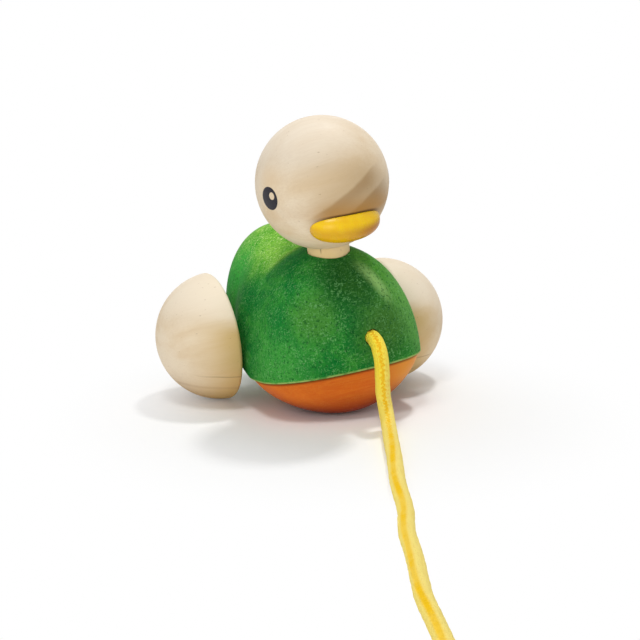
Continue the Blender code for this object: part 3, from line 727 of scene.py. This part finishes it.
# %% Shell of the body
LIP_ROUND = 0.45
HEAD_RADIUS, NECK_RADIUS, NECK_CHAMFER, NECK_AHEAD = 25.0, 8.0, 1.0, 35.0
NECK_GAP, NECK_IN_HEAD, NECK_IN_BODY, NECK_BOSS, NECK_FLOOR = 0.9, 12.0, 14.0, 4.0, 3.0
NECK_JOINT = CHEST_TOP + NECK_GAP
NECK_TOP, NECK_FOOT, NECK_PLACE = NECK_JOINT + NECK_IN_HEAD, CHEST_TOP - NECK_IN_BODY, (0, -NECK_AHEAD, 0)
AXLE_RADIUS, AXLE_BEARING, AXLE_BOSS, SPACER_RADIUS = 2.5, 10.0, 3.5, 6.0
RUNNING_GAP, SPOT_FACE, WHEEL_GAP = 0.3, 1.2, 1.8
WHEEL_FACE = CHEST_WIDTH / 2 + WHEEL_GAP
WELL_INSIDE, OVER_NECK, WELL_OUTSIDE, IN_BREAST, AHEAD_OF_BREAST = 5, 20, 60, 40, 62
FINE, MIDDLING, COARSE = 96, 64, 48


def shell_grid(count=170, over=150, lip=6, under=14):
    """Rings of the body above the seam: underside, lip, flanks and back, lip, underside."""
    y = stations(-BODY_FRONT, BODY_REAR, count)
    form = section(y)
    start = angle_at(form, seam(y))[:, None]
    edge_x, edge_z = ring(form, start)
    edge_x = np.where(start < -math.pi / 2 + HARDLY, 0, edge_x)
    edge_z = np.maximum(edge_z, seam(y)[:, None])
    small = np.minimum(LIP_ROUND, 0.5 * edge_x)
    begin = angle_at(form, (edge_z + small)[:, 0])[:, None]
    x, z = ring(form, begin + np.linspace(0, 1, over) * (math.pi - 2 * begin))
    t = np.linspace(0, 1, lip + 1)[:-1]
    away, corner, onto = (1 - t) ** 2, 2 * t * (1 - t), t ** 2
    lip_x = away * (edge_x - small) + corner * edge_x + onto * x[:, :1]
    lip_z = away * edge_z + corner * edge_z + onto * z[:, :1]
    flat_x = np.linspace(0, 1, under, endpoint=False) * (edge_x - small)
    flat_z = edge_z + 0 * flat_x
    x = np.hstack((flat_x, lip_x, x, -lip_x[:, ::-1], -flat_x[:, ::-1]))
    z = np.hstack((flat_z, lip_z, z, lip_z[:, ::-1], flat_z[:, ::-1]))
    return pile(x, y[:, None], z)


def form_grid(inset, count, columns):
    """Whole closed form, inset: every section all the way round."""
    y = stations(inset - BODY_FRONT, BODY_REAR - inset, count)
    x, z = ring(section(y, inset, inset), around(columns))
    return pile(x, y[:, None], z)

# %% Drilling the shell
def drill(name, radius, start, end, place=(0, 0, 0), way=Z_WAY, columns=FINE):
    """Cylinder from start to end along way, with its faces drawn to a point."""
    grid = turned_grid(((0, end), (radius, end), (radius, start), (0, start)), columns)
    return grid_object(name, stand(aimed(grid, way) + place))


def axle_drill(bore, seat):
    """Stepped drill: the axle's bore between the spot faces, and the wider seats outside them."""
    half = ((0, WELL_OUTSIDE), (seat, WELL_OUTSIDE), (seat, SPOT_PLANE), (bore, SPOT_PLANE))
    outline = half + tuple((radius, -height) for radius, height in half[::-1])
    return grid_object("axle_drill", stand(aimed(turned_grid(outline, FINE), X_WAY)))


mid = section(np.array([0.0]))
SPOT_PLANE = ring(mid, angle_at(mid, np.array([0.0]))[:, None])[0][0, 0] - SPOT_FACE
body = grid_object("green_body", stand(shell_grid()))
hollow = grid_object("hollow", stand(form_grid(SHELL_WALL, count=40, columns=MIDDLING)))
neck_boss = drill("neck_boss", NECK_RADIUS + NECK_BOSS, NECK_FOOT - NECK_FLOOR, CHEST_TOP + WELL_INSIDE,
                  NECK_PLACE, columns=COARSE)
bosses = [drill(f"boss_{side}", AXLE_RADIUS + AXLE_BOSS, SPOT_PLANE - AXLE_BEARING, WHEEL_FACE,
                way=(side, 0, 0), columns=COARSE) for side in (-1, 1)]
cut(hollow, neck_boss, *bosses)
socket = drill("socket", NECK_RADIUS + GLUE_GAP, NECK_FOOT - GLUE_GAP, CHEST_TOP + OVER_NECK, NECK_PLACE)
cord_hole = drill("cord_hole", CORD_RADIUS + CORD_HOLE_GAP, IN_BREAST, AHEAD_OF_BREAST,
                  (CORD_HOLE_SIDE, 0, CORD_HOLE_HEIGHT), FORWARD, MIDDLING)
cut(body, hollow, socket, axle_drill(AXLE_RADIUS + RUNNING_GAP, SPACER_RADIUS + RUNNING_GAP), cord_hole)

# %% [markdown]
# The stain soaks unevenly into the pressed dust: deep green with cloudy lighter patches, small
# dark pits and thousands of pale fibre ends. Painted light and shade lie over it: the back is
# painted lighter as lit by the lamp behind, up to a soft edge along the head's shadow; patches
# of painted light lie on the breast and back, and patches of painted shadow of the head and bill
# lie on the breast; a painted highlight streak runs down the left shoulder, and painted light
# brightens the left shoulder and flank. The sawn edge at the seam took less stain, so a thin line
# there is nearly bare. All of it is read from the duck's own frame.

# %% Specks of dust
def dust_specks(vector):
    """Fibre ends that lie both ways, small dark pits and slow clouds, as masks."""
    level = vector.noise((0.72, 1.7, 1.9), 1.5, 0.6, 0.8).fade(0.55, 0.70)
    upright = vector.noise((1.8, 1.5, 0.72), 1.5, 0.6, 0.8).fade(0.56, 0.71)
    crowd = vector.noise(0.16).fade(0.36, 0.62, low=0.5)
    return {"Speck": level.math("MAXIMUM", upright) * crowd,
            "Pit": vector.noise((0.9, 1.2, 0.9), 2.5, 0.7, 0.6).fade(0.49, 0.34),
            "Cloud": vector.noise(0.11, 3.0, 0.6, 0.5)}


SPECKS = mask_group("dust_specks", dust_specks)

# %% Green stain
# Painted light and shade: the edge of the lit back, plain and lit greens, patches of painted light and
# shadow, the lit left shoulder, painted side light and the shoulder's painted highlight.
LIT_BACK_EDGE, LIT_BACK_CURVE, LIT_BACK_TOP = -20.5, 0.05, 36.0
PLAIN_AND_LIT_GREENS = (((20, 120, 48), (90, 170, 46)), ((58, 148, 56), (136, 198, 72)),
          ((14, 78, 34), (40, 138, 44)), ((128, 196, 122), (208, 238, 150)))
# Patches (middle, reach, strength, tone): a painted highlight on the right breast, painted light low on the
# right breast, painted shadow of the head and bill in two patches on the breast, and painted light on the
# right of the back.
PAINTED_LIGHT_AND_SHADOW = (((-14.7, -50.6, 17.7), 14.0, 0.5, (94, 152, 58)),
                ((-25.0, -40.0, 0.0), 20.0, 0.7, (74, 166, 68)),
                ((1.0, -48.0, 30.0), 19.0, 0.8, (36, 78, 26)),
                ((13.0, -52.0, 10.0), 22.0, 0.65, (70, 102, 44)),
                ((-19.5, 10.0, 24.0), 20.0, 0.7, (74, 192, 80)))
LIT_SHOULDER_WAY, LIT_SHOULDER_EDGE = (0.798, -0.151, 0.590), 32.2
SIDE_LIGHT_WAY, SIDE_LIGHT_EDGE = (0.914, -0.405, 0.27), 44.5
HIGHLIGHT_MIDDLE, HIGHLIGHT_WAY, HIGHLIGHT_LENGTH = (12.1, -48.4, 26.1), (0.553, -0.251, -0.794), 14.0


def over_seam(place):
    """Height of a place over the seam's tilted plane."""
    height = place.along((0, math.sin(SEAM_PITCH), math.cos(SEAM_PITCH)))
    return height + SEAM_BELOW_AXLE * math.cos(SEAM_PITCH)


def green_stain(place):
    """Recipe of the stained dust, whose deep, pale, dark and fleck tones each have a painted lit one.

    The back is painted lighter as lit behind y = edge + curve (z - top) ** 2, a soft edge along the
    head's shadow. The shoulder's painted highlight lies about a line: |off x way| is the distance
    from it and off . way the place along it.
    """
    speck, pit, cloud = place.masks(SPECKS)
    x, y, z = place.parts()
    drop = z - LIT_BACK_TOP
    behind = y - (drop * drop * LIT_BACK_CURVE + LIT_BACK_EDGE)
    # Painted light: the back is lighter as lit by the lamp behind, up to a soft edge along the head's
    # shadow.
    painted_lit_back = behind.fade(-4.0, 3.5) * z.fade(20.0, 37.0) * abs(x).fade(27.0, 14.0, low=0.6)
    deep, pale, dark, fleck = (painted_lit_back.mix(*tones) for tones in PLAIN_AND_LIT_GREENS)
    # Patches of painted light, and of painted shadow cast by the head and bill.
    painted_patches = [(place.distance(middle).fade(reach, 3.0, strength), tone)
              for middle, reach, strength, tone in PAINTED_LIGHT_AND_SHADOW]
    # Painted light on the duck's left shoulder, where the lamp behind reaches past the terminator.
    left = place.along(LIT_SHOULDER_WAY).fade(LIT_SHOULDER_EDGE - 2.0, LIT_SHOULDER_EDGE + 4.0) * z.fade(6.0, 22.0, 0.8)
    # A painted highlight streak down the left shoulder, where the lamp behind glances off it.
    off = place.off(HIGHLIGHT_MIDDLE)
    aside = off.vector("CROSS_PRODUCT", HIGHLIGHT_WAY).vector("LENGTH", out="Value")
    streak = aside.fade(4.2, 0.2) * abs(off.along(HIGHLIGHT_WAY)).fade(HIGHLIGHT_LENGTH, 2.0, 0.75)
    # Painted side light on the duck's left flank.
    painted_side_light = place.along(SIDE_LIGHT_WAY).fade(SIDE_LIGHT_EDGE - 6.0, SIDE_LIGHT_EDGE + 1.0, 0.6)
    patchy = place.noise(0.3).fade(0.36, 0.60, low=0.25, high=0.85)
    colour = lay(cloud.fade(0.36, 0.70).mix(deep, pale), *painted_patches, (left, (88, 158, 54)),
                 (streak, (164, 212, 124)), (painted_side_light, (118, 182, 90)), (pit * 0.7, dark),
                 (speck * painted_lit_back.fade(0.0, 1.0, low=0.54, high=0.9), fleck),
                 (over_seam(place).fade(0.85, 0.40) * patchy, (172, 196, 112)))
    return {"Base Color": colour, "Roughness": cloud.fade(0.3, 0.7, low=0.38, high=0.48),
            "Normal": speck.bump(0.12, 0.0001), "Specular IOR Level": 0.004}


dress(body, finish("green_stain", green_stain), "green_stain", "body", "body_shell")

# %% [markdown]
# ## The orange belly
# Under the seam a turned bowl closes the shell, drawn in by a millimetre so that the green lip
# stands over it. It is the lower part of the same form: each ring runs from one side of the
# bowl under the keel to the other, and a flat top closes it.

# %% Belly
def belly_grid(count=120, below=110, top=16):
    """Lower rings of the inset form, cut just under the seam and closed flat."""
    def cut_level(y):
        return seam(y) - GLUE_GAP / math.cos(SEAM_PITCH)

    def dips(y):
        return section(np.array([y]), BELLY_OVERHANG)[2][0] < cut_level(y)

    front = crossing(dips, BELLY_OVERHANG - BODY_FRONT, -CHEST_STATION)
    rear = -crossing(lambda y: dips(-y), -BODY_REAR / 2, CHEST_STATION)
    y = stations(front, rear, count)
    form = section(y, BELLY_OVERHANG)
    start = angle_at(form, cut_level(y))[:, None]
    x, z = ring(form, start - np.linspace(0, 1, below) * (math.pi + 2 * start))
    z = np.minimum(z, cut_level(y)[:, None])
    back = np.linspace(0, 1, top + 1)[1:]
    x = np.hstack((x, x[:, -1:] + (x[:, :1] - x[:, -1:]) * back))
    z = np.hstack((z, z[:, -1:] + (z[:, :1] - z[:, -1:]) * back))
    grid = pile(x, y[:, None], z)
    grid[[0, -1]] = grid[[0, -1]].mean(1, keepdims=True)
    return grid


belly = grid_object("orange_belly", stand(belly_grid()))

# %% [markdown]
# The orange is a stain too, but over solid wood: the bands and fibres of the grain show
# through it as slightly redder and paler streaks that run across the bowl. Painted light turns
# it golden on the duck's left, painted shade darkens it towards the keel, and a dark line of
# painted shadow lies under the green lip.

# %% Orange stain
def orange_stain(place):
    """Recipe of orange stain over the wood's grain, with painted light, painted shade and a painted shadow
    line.
    """
    band, fibre, _ = place.masks(GRAIN)
    speck, _, _ = place.masks(SPECKS)
    # Painted light turns the duck's left golden, painted shade darkens the bowl towards the keel, and the
    # last mark is a painted shadow under the green lip.
    colour = lay(band.mix((234, 124, 42), (220, 106, 32)), (fibre.fade(0.35, 0.75, 0.4), (234, 138, 44)),
                 (place.along(X_WAY).fade(5.0, 22.0, 0.75), (236, 160, 60)),
                 (place.along(Z_WAY).fade(-11.0, -22.0, 0.9), (140, 40, 14)),
                 (speck * 0.10, (240, 170, 96)), (over_seam(place).fade(-1.5, -0.4, 0.75), (104, 44, 10)))
    return {"Base Color": colour, "Roughness": fibre.fade(0.3, 0.7, low=0.36, high=0.5),
            "Normal": fibre.bump(0.15, 0.0001), "Specular IOR Level": 0.08}


dress(belly, finish("orange_stain", orange_stain), "orange_stain", "body", "belly")

# %% [markdown]
# ## The head and neck
# The head is a turned ball, the same size as the wheels' ball, and it sits on a short dowel.
# Both are profiles spun about the neck's axis. The head has a pale crown painted as its lit
# top, a browner face of painted shade, a warm patch over the right eye and two growth streaks
# on the duck's left, with painted shade deepening towards the first. A streak has one sharp
# edge: it is all the wood past a slanting plane, and it thins out with the distance past it.
# Over the bill lie painted shade, warmed by its yellow, and a thin dark line of painted
# contact shadow where it meets the ball.

# %% Head and neck
HEAD_PLACE = np.array((0, -NECK_AHEAD, NECK_JOINT + math.sqrt(HEAD_RADIUS ** 2 - NECK_RADIUS ** 2)))
BILL_DROP, BILL_PITCH, BILL_SINK, BILL_FULLNESS = math.radians(36), math.radians(12), 3.4, 2.3
BILL_SIZE = np.array((27.6, 17.2, 12.6))
BILL_WAY = np.array((0, -math.cos(BILL_DROP), -math.sin(BILL_DROP)))
BILL_PLACE = HEAD_PLACE + BILL_WAY * (HEAD_RADIUS - BILL_SINK)
BILL_AXES = np.array((X_WAY, (0, math.cos(BILL_PITCH), math.sin(BILL_PITCH)),
                      (0, -math.sin(BILL_PITCH), math.cos(BILL_PITCH))))
PEG_RADIUS, PEG_ROOT, PEG_TIP = 2.0, HEAD_RADIUS - 10, HEAD_RADIUS + 4
MOUTH_CLEAR, MOUTH_EASE, MOUTH_EDGE, NECK_EASE = 1.2, 0.3, 0.8, 0.3
BALL_ROWS, BALL_COLUMNS = 90, 160


def head_grid():
    """Outline of the ball from its crown to the neck's mouth, then up the eased socket."""
    mouth = NECK_RADIUS + GLUE_GAP
    angle = -math.degrees(math.acos(mouth / HEAD_RADIUS))
    ball = arc((0, 0), HEAD_RADIUS, 90, angle + MOUTH_CLEAR, BALL_ROWS)
    ball[0] = (0, HEAD_RADIUS)
    brim = HEAD_RADIUS * math.sin(math.radians(angle))
    roof = NECK_TOP + GLUE_GAP - HEAD_PLACE[2]
    bore = ((mouth, brim + MOUTH_EASE), (mouth, brim + MOUTH_EDGE), (mouth, roof), (0, roof))
    return turned_grid(np.vstack((ball, bore)), BALL_COLUMNS) + HEAD_PLACE


def neck_grid():
    """Dowel with chamfered ends."""
    half = ((0, NECK_TOP), (NECK_RADIUS - NECK_CHAMFER, NECK_TOP), (NECK_RADIUS, NECK_TOP - NECK_CHAMFER))
    other = tuple((radius, NECK_TOP + NECK_FOOT - height) for radius, height in half[::-1])
    return turned_grid(rounded(half + other, NECK_EASE)) + NECK_PLACE


head = grid_object("head_ball", stand(head_grid()))
cut(head, drill("peg_hole", PEG_RADIUS + GLUE_GAP, PEG_ROOT - GLUE_GAP, 2 * HEAD_RADIUS, HEAD_PLACE,
                BILL_WAY, COARSE))
neck = grid_object("neck_dowel_wood", stand(neck_grid()))

# %% Marks on the head and neck
STREAK_ACROSS, STREAK_ALONG = (0.507, -0.125, -0.853), (0.859, 0, 0.511)
STREAKS, STREAK_MIDDLE, STREAK_REACH = (2.6, 9.6), -1.0, 20.0
FACE_SHADE, FACE_SHADE_REACH, LIT_CROWN_WAY = (-2.0, -24.0, 6.0), 24.0, (-0.3, 0, 0.95)
WARM_PATCH, WARM_REACH = (-23.0, -41.0, 71.0), 9.0
CHECK_PLACE, CHECK_ACROSS = (-5.6, -40.7, 40.5), (0.72, -0.70, 0)


def bill_share(place, axis):
    """How far a place lies from the bill's middle along one of its axes, as a share of its half size."""
    way = BILL_AXES[axis]
    return (place.along(way.tolist()) - float(BILL_PLACE @ way)) * (2 / float(BILL_SIZE[axis]))


def beside_bill(place):
    """The bill's own form: (x ** 2 + y ** 2) ** (n / 2) + |z| ** n is 1 on its surface and grows outside."""
    x, y, z = (bill_share(place, axis) for axis in range(3))
    return (x * x + y * y) ** (BILL_FULLNESS / 2) + abs(z) ** BILL_FULLNESS


def head_marks(place):
    """Painted light on the crown, painted shade on the face and before the first streak, a warm patch, two
    growth streaks, and painted shade and a painted contact shadow over the bill, as stains.

    A streak is the wood past a plane: with p the distance past it, the mask climbs from 0 to 1
    within 1.4 mm and then thins out slowly.
    """
    local = place.off(HEAD_PLACE.tolist())
    across = local.along(STREAK_ACROSS) + (place.noise(0.12) - 0.5) * 1.6
    reach = abs(local.along(STREAK_ALONG) - STREAK_MIDDLE)
    raised = bill_share(place, 2)
    front = reach.fade(STREAK_REACH, 8.0) * local.along(FORWARD).fade(6.0, 14.0) * raised.fade(-0.4, 0.4)
    near_bill = beside_bill(place) ** 0.5
    shade_over_bill = raised.fade(0.3, 0.9) * place.along(X_WAY).fade(-16.0, -4.0, low=0.3)
    # Painted shade on the face, a warm patch, painted light on the crown, and painted shade deepening
    # towards the first growth streak.
    marks = [(local.distance(FACE_SHADE).fade(FACE_SHADE_REACH, 4.0, 0.5), (208, 181, 140)),
             (place.distance(WARM_PATCH).fade(WARM_REACH, 1.0, 0.55), (230, 198, 150)),
             (local.along(LIT_CROWN_WAY).fade(6.0, 24.0, 0.45), (236, 228, 216)),
             (front * across.fade(STREAKS[0] - 10.0, STREAKS[0], 0.6), (202, 174, 132))]
    for offset in STREAKS:
        past = across - offset
        streak = past.fade(-0.8, 0.6) * past.fade(1.5, 6.5, low=0.6, high=0.28) * front
        marks.append((streak, (160, 124, 78)))
    # Painted shade over the bill, warmed by its yellow, and a thin line of painted contact shadow where the
    # bill meets the ball.
    marks.append((shade_over_bill * near_bill.fade(2.5, 1.1, 0.65), (182, 128, 40)))
    marks.append((shade_over_bill * near_bill.fade(1.15, 1.03, 0.9), (98, 66, 18)))
    return marks


def neck_marks(place):
    """Painted light from the bill, yellower towards the foot, and a short drying check: a thin upright line
    on the dowel's front.
    """
    off = abs(place.along(CHECK_ACROSS) - float(np.dot(CHECK_PLACE, CHECK_ACROSS)))
    # The first mark is painted yellow light reflected from the bill.
    return [(place.along(Z_WAY).fade(50.0, 34.0, low=0.3, high=0.8), (244, 214, 146)),
            (off.fade(0.30, 0.08) * place.distance(CHECK_PLACE).fade(2.4, 0.8, 0.7), (120, 90, 60))]


HEAD_WOOD = finish("head_wood", pale_wood((0, 0.2, 0.33), head_marks, fibres=0.22))
dress(head, HEAD_WOOD, "natural_wood", "body", "head")
NECK_WOOD = finish("neck_wood", pale_wood((0, math.pi / 2, 0), neck_marks))
dress(neck, NECK_WOOD, "natural_wood", "body", "neck_dowel", crease=25)

# %% [markdown]
# ## The eyes
# Each eye is printed on the ball: a dark disc with a small round window left bare, forward
# and up, as its glint. The print is a thin skin that follows the ball. Its points run from the
# window's rim to the disc's rim in the ball's own tangent plane and are then pushed out to
# the ball's radius.

# %% Eyes
EYE_WAY, EYE_RADIUS = np.array((-24.14, -6.4, -1.03)), 4.45
GLINT_WAY, GLINT_RADIUS = np.array((-23.71, -7.94, 0.06)), 1.4
INK_PROUD, INK_SUNK, INK_RINGS, INK_COLUMNS = 0.05, 0.05, 10, 72
INK_FROM, INK_TO = 0.04, 0.98


def eye_grid(mirror):
    """Rings from the glint's rim to the disc's rim, laid on the ball just above its surface."""
    way = unit(EYE_WAY)
    level = unit(np.cross(Z_WAY, way))
    upward = np.cross(way, level)
    glint = GLINT_WAY / np.dot(GLINT_WAY, way) * HEAD_RADIUS
    circle = pile(np.cos(around(INK_COLUMNS)), np.sin(around(INK_COLUMNS)))
    window = GLINT_RADIUS * circle + (np.dot(glint, level), np.dot(glint, upward))
    share = np.concatenate(((0, 0), np.linspace(INK_FROM, INK_TO, INK_RINGS), (1, 1)))[:, None, None]
    height = np.concatenate(((-INK_SUNK, 0), np.full(INK_RINGS, INK_PROUD), (0, -INK_SUNK)))
    flat = window * (1 - share) + EYE_RADIUS * circle * share
    rays = unit(way * HEAD_RADIUS + flat[..., :1] * level + flat[..., 1:] * upward)
    grid = rays * (HEAD_RADIUS + height)[:, None, None]
    return np.concatenate((grid, grid[:1])) * (mirror, 1, 1) + HEAD_PLACE


INK = finish("eye_ink", mottled((1.2, 3.0, 0.6), 0.4, ((36, 33, 42), (48, 44, 53)), (0.32, 0.45),
                                (0.1, 0.00005), {"Specular IOR Level": 0.25}))
for word, mirror in (("right", 1), ("left", -1)):
    dress(grid_object(f"eye_{word}", stand(eye_grid(mirror))), INK, "natural_wood", "body", crease=60)

# %% [markdown]
# ## The bill
# The bill is a painted pebble, wide and flat, hollowed at the back to sit on the ball and held
# by a hidden peg. The pebble is a superellipsoid: an ellipse in plan, and a slightly square
# oval in profile. The ball's room and the peg's hole are cut out of it. Painted shade makes its
# paint browner underneath, most of all on the duck's left.

# %% Bill
ROOM_ROWS, ROOM_COLUMNS = 80, 140


def pebble_grid(rows=90, columns=140):
    """Superellipsoid: girth cos ** (2 / n) round an ellipse, height sin ** (2 / n)."""
    rise = np.linspace(-math.pi / 2, math.pi / 2, rows)[:, None]
    angle, power = around(columns), 2 / BILL_FULLNESS
    girth = np.clip(np.cos(rise), 0, 1) ** power
    girth[[0, -1]] = 0
    height = np.sign(rise) * np.abs(np.sin(rise)) ** power
    pebble = pile(girth * np.cos(angle), girth * np.sin(angle), height) * BILL_SIZE / 2
    return pebble @ BILL_AXES + BILL_PLACE


def yellow_paint(place):
    """Recipe of glossy yellow paint with a little flow and grit, and painted shade underneath."""
    flow = place.noise(0.25, 3.0, 0.55)
    grit = place.noise((0.6, 2.4, 2.4), 2.0, 0.6)
    # Painted shade: browner underneath, most of all on the duck's left.
    under = bill_share(place, 2).fade(0.45, -0.15) * place.along(X_WAY).fade(-6.0, 9.0, low=0.4)
    colour = lay(flow.fade(0.35, 0.68).mix((255, 210, 8), (250, 198, 8)),
                 (grit.fade(0.55, 0.8, 0.15), (214, 150, 24)), (under, (188, 122, 8)))
    return {"Base Color": colour, "Roughness": flow.fade(0.3, 0.7, low=0.22, high=0.34),
            "Normal": grit.bump(0.12, 0.0001), "Specular IOR Level": 0.35}


bill = grid_object("bill_paint", stand(pebble_grid()))
ball_outline = arc((0, 0), HEAD_RADIUS + GLUE_GAP, 90, -90, ROOM_ROWS)
ball_outline[[0, -1], 0] = 0
head_room = grid_object("head_room", stand(turned_grid(ball_outline, ROOM_COLUMNS) + HEAD_PLACE))
peg_room = drill("peg_room", PEG_RADIUS + GLUE_GAP, PEG_ROOT, PEG_TIP + GLUE_GAP, HEAD_PLACE, BILL_WAY,
                 COARSE)
cut(bill, head_room, peg_room)
dress(bill, finish("yellow_paint", yellow_paint), "yellow_paint", "body", "bill")

# %% [markdown]
# ## The wheels
# Each wheel is half a ball with a softened rim and a flat inner face. Its blind bore is off
# the ball's centre, which is what makes the duck waddle. The surface is a stack of circles:
# over the dome, round the rim, across the face while the circles shift to the bore's centre,
# and down the bore.

# %% Shapes of the wheels and spacers
WHEEL_RADIUS, WHEEL_OFFSET, WHEEL_EDGE, AXLE_IN_WHEEL = 25.0, 3.9, 1.5, 14.0
EDGE_CIRCLE = math.sqrt((WHEEL_RADIUS - WHEEL_EDGE) ** 2 - WHEEL_EDGE ** 2)
BORE_EASE, SPACER_EASE = 0.4, 0.5
DOME_ROWS, EDGE_ROWS, FACE_ROWS, WHEEL_COLUMNS = 60, 10, 10, 144


def wheel_grid(side):
    """Circles (radius, height, shift): dome, rim, flat face, bore; the height runs outwards."""
    touch = math.degrees(math.asin(WHEEL_EDGE / (WHEEL_RADIUS - WHEEL_EDGE)))
    dome = arc((0, 0), WHEEL_RADIUS, 90, touch, DOME_ROWS)
    dome[0] = (0, WHEEL_RADIUS)
    edge = arc((EDGE_CIRCLE, WHEEL_EDGE), WHEEL_EDGE, touch, -90, EDGE_ROWS)[1:]
    share = np.linspace(0, 1, FACE_ROWS)[1:]
    bore, depth = AXLE_RADIUS + GLUE_GAP, AXLE_IN_WHEEL + GLUE_GAP
    face = pile(EDGE_CIRCLE + (bore - EDGE_CIRCLE) * share, 0)
    hole = ((bore, BORE_EASE), (bore, depth - BORE_EASE), (bore, depth), (0, depth))
    shift = np.concatenate((np.zeros(len(dome) + len(edge)), share, np.ones(len(hole))))
    shift = shift * side * WHEEL_OFFSET
    radius, height = np.vstack((dome, edge, face, hole)).T[:, :, None]
    angle = around(WHEEL_COLUMNS)
    z = radius * np.sin(angle) + shift[:, None] - side * WHEEL_OFFSET
    return pile(side * (WHEEL_FACE + height), radius * np.cos(angle), z)


def spacer_grid(side):
    """Ring with eased edges between the body's spot face and the wheel."""
    inner, outer = SPOT_PLANE + RUNNING_GAP, WHEEL_FACE - RUNNING_GAP
    hole, middle = AXLE_RADIUS + RUNNING_GAP, (inner + outer) / 2
    outline = ((hole, middle), (hole, outer), (SPACER_RADIUS, outer), (SPACER_RADIUS, inner), (hole, inner),
               (hole, middle))
    return aimed(turned_grid(rounded(outline, SPACER_EASE), FINE), (side, 0, 0))

# %% Wheels and spacers
LAYER_WAY, FINE_LINE, SECOND_LINE = (0.156, 0.0, 1.0), 11.65, 17.0


def wheel_marks(side):
    """Painted light on the crown, painted shade on the foot, a golden rim and two growth lines low on the
    ball, for one wheel.
    """
    centre = (side * WHEEL_FACE, 0, -side * WHEEL_OFFSET)

    def marks(place):
        local = place.off(centre)
        layer = local.along(LAYER_WAY) + (place.noise(0.07, 1.0) - 0.5) * 1.2
        outward = local.along((side, 0, 0))
        fine = abs(layer + FINE_LINE).fade(0.40, 0.1, 0.45) * outward.fade(19.0, 8.0)
        # The first mark is painted light on the wheel's top, the second painted shade on its foot.
        return [(layer.fade(6.0, 19.0, 0.75), (243, 230, 208)),
                (layer.fade(-9.0, -24.0, 0.6), (190, 152, 104)),
                (outward.fade(22.0, 0.0) * layer.fade(13.0, 5.0, 0.85), (212, 176, 104)),
                (fine, (158, 124, 84)), (abs(layer + SECOND_LINE).fade(0.9, 0.2, 0.22), (178, 140, 96))]
    return marks


for word, side in (("right", -1), ("left", 1)):
    wood = finish(f"wheel_{word}_wood", pale_wood((0, 0.12, 0.42), wheel_marks(side)))
    wheel = grid_object(f"wheel_{word}_ball", stand(wheel_grid(side)))
    dress(wheel, wood, "natural_wood", "wheelset", f"wheel_{word}")
    spacer = grid_object(f"spacer_{word}", stand(spacer_grid(side)))
    dress(spacer, NECK_WOOD, "natural_wood", "wheelset", f"axle_spacer_{word}")

# %% [markdown]
# ## What the frame already shows well
# The axle and the bill's peg are plain rods, so they stay as they are and only get a finish:
# drawn steel with fine lengthwise lines, and the neck's wood.

# %% Axle and peg
STEEL = finish("drawn_steel", mottled(((0.225, 4.5, 4.5), 3.0, 0.6), 0.3,
                                      ((190, 190, 192), (168, 168, 170)), (0.22, 0.38),
                                      (0.1, 0.00005), {"Metallic": 1.0}))
for node, material in (("axle", STEEL), ("bill_peg", NECK_WOOD)):
    frame["nodes"][node].material_slots[0].material = material

# %% [markdown]
# ## Floor and light
# The toy stands in a white studio. A small steep lamp behind it on its left draws the bright
# tops of the head and back, a wider one above it on its right lights the front, and a big low
# one fills from the camera's side. The floor is a pale sheet that keeps the toy's soft shadow
# and fades into the white surround further out, so no horizon shows.

# %% Floor
FLOOR_HALF, FLOOR_DROP = 2.5, 0.0001
FADE_MIDDLE, FADE_FROM, FADE_TO = (0, -0.03, 0), 0.035, 0.12
SHEET = {"Base Color": (250, 250, 250), "Roughness": 0.9, "Specular IOR Level": 0.1}
WHITE = (255, 255, 255)

sides = np.array((-FLOOR_HALF, FLOOR_HALF))
floor = grid_object("floor", pile(sides[None, :], sides[:, None], -FLOOR_DROP))
floor_sheet, graph = new_material("floor_sheet")
sheet = graph.tree.nodes["Principled BSDF"]
graph.feed(sheet.inputs, SHEET)
away = graph.add("TexCoord", {}, "Object").distance(FADE_MIDDLE)
seen = away.fade(FADE_FROM, FADE_TO) * graph.add("LightPath", {}, "Is Camera Ray")
white = graph.add("Emission", {"Color": WHITE, "Strength": 1.0})
whitened = graph.add("MixShader", {0: seen, 1: Value(graph, sheet.outputs[0]), 2: white})
graph.feed(graph.tree.nodes["Material Output"].inputs, {"Surface": whitened})
floor.data.materials.append(floor_sheet)

# %% Lamps and surround
SURROUND_LIGHT, LAMP_AIM = 0.38, (0.0, 0.0, 0.05)
LAMPS = {"key_behind": ((0.30, 0.25, 0.95), 0.10, 3.6),
         "key_before": ((-0.25, -0.22, 0.98), 0.25, 2.45),
         "side_fill": ((-0.62, -0.82, 0.40), 0.6, 2.7)}

world = bpy.data.worlds.new("studio")
bpy.context.scene.world = world
world.use_nodes = True
sky = Graph(world.node_tree)
rays = sky.add_all("LightPath", {})
mirrored = rays["Is Glossy Ray"].math("MAXIMUM", rays["Is Transmission Ray"])
strength = rays["Is Camera Ray"].math("MAXIMUM", mirrored).fade(0.0, 1.0, low=SURROUND_LIGHT)
sky.feed(world.node_tree.nodes["Background"].inputs, {"Color": WHITE, "Strength": strength})
for name, (place, size, power) in LAMPS.items():
    lamp = bpy.data.lights.new(name, "AREA")
    lamp.size = size
    lamp.energy = power
    looking(name, lamp, place, LAMP_AIM)
    print("lamp", name, power, "W")
bpy.context.scene.view_settings.view_transform = "Standard"
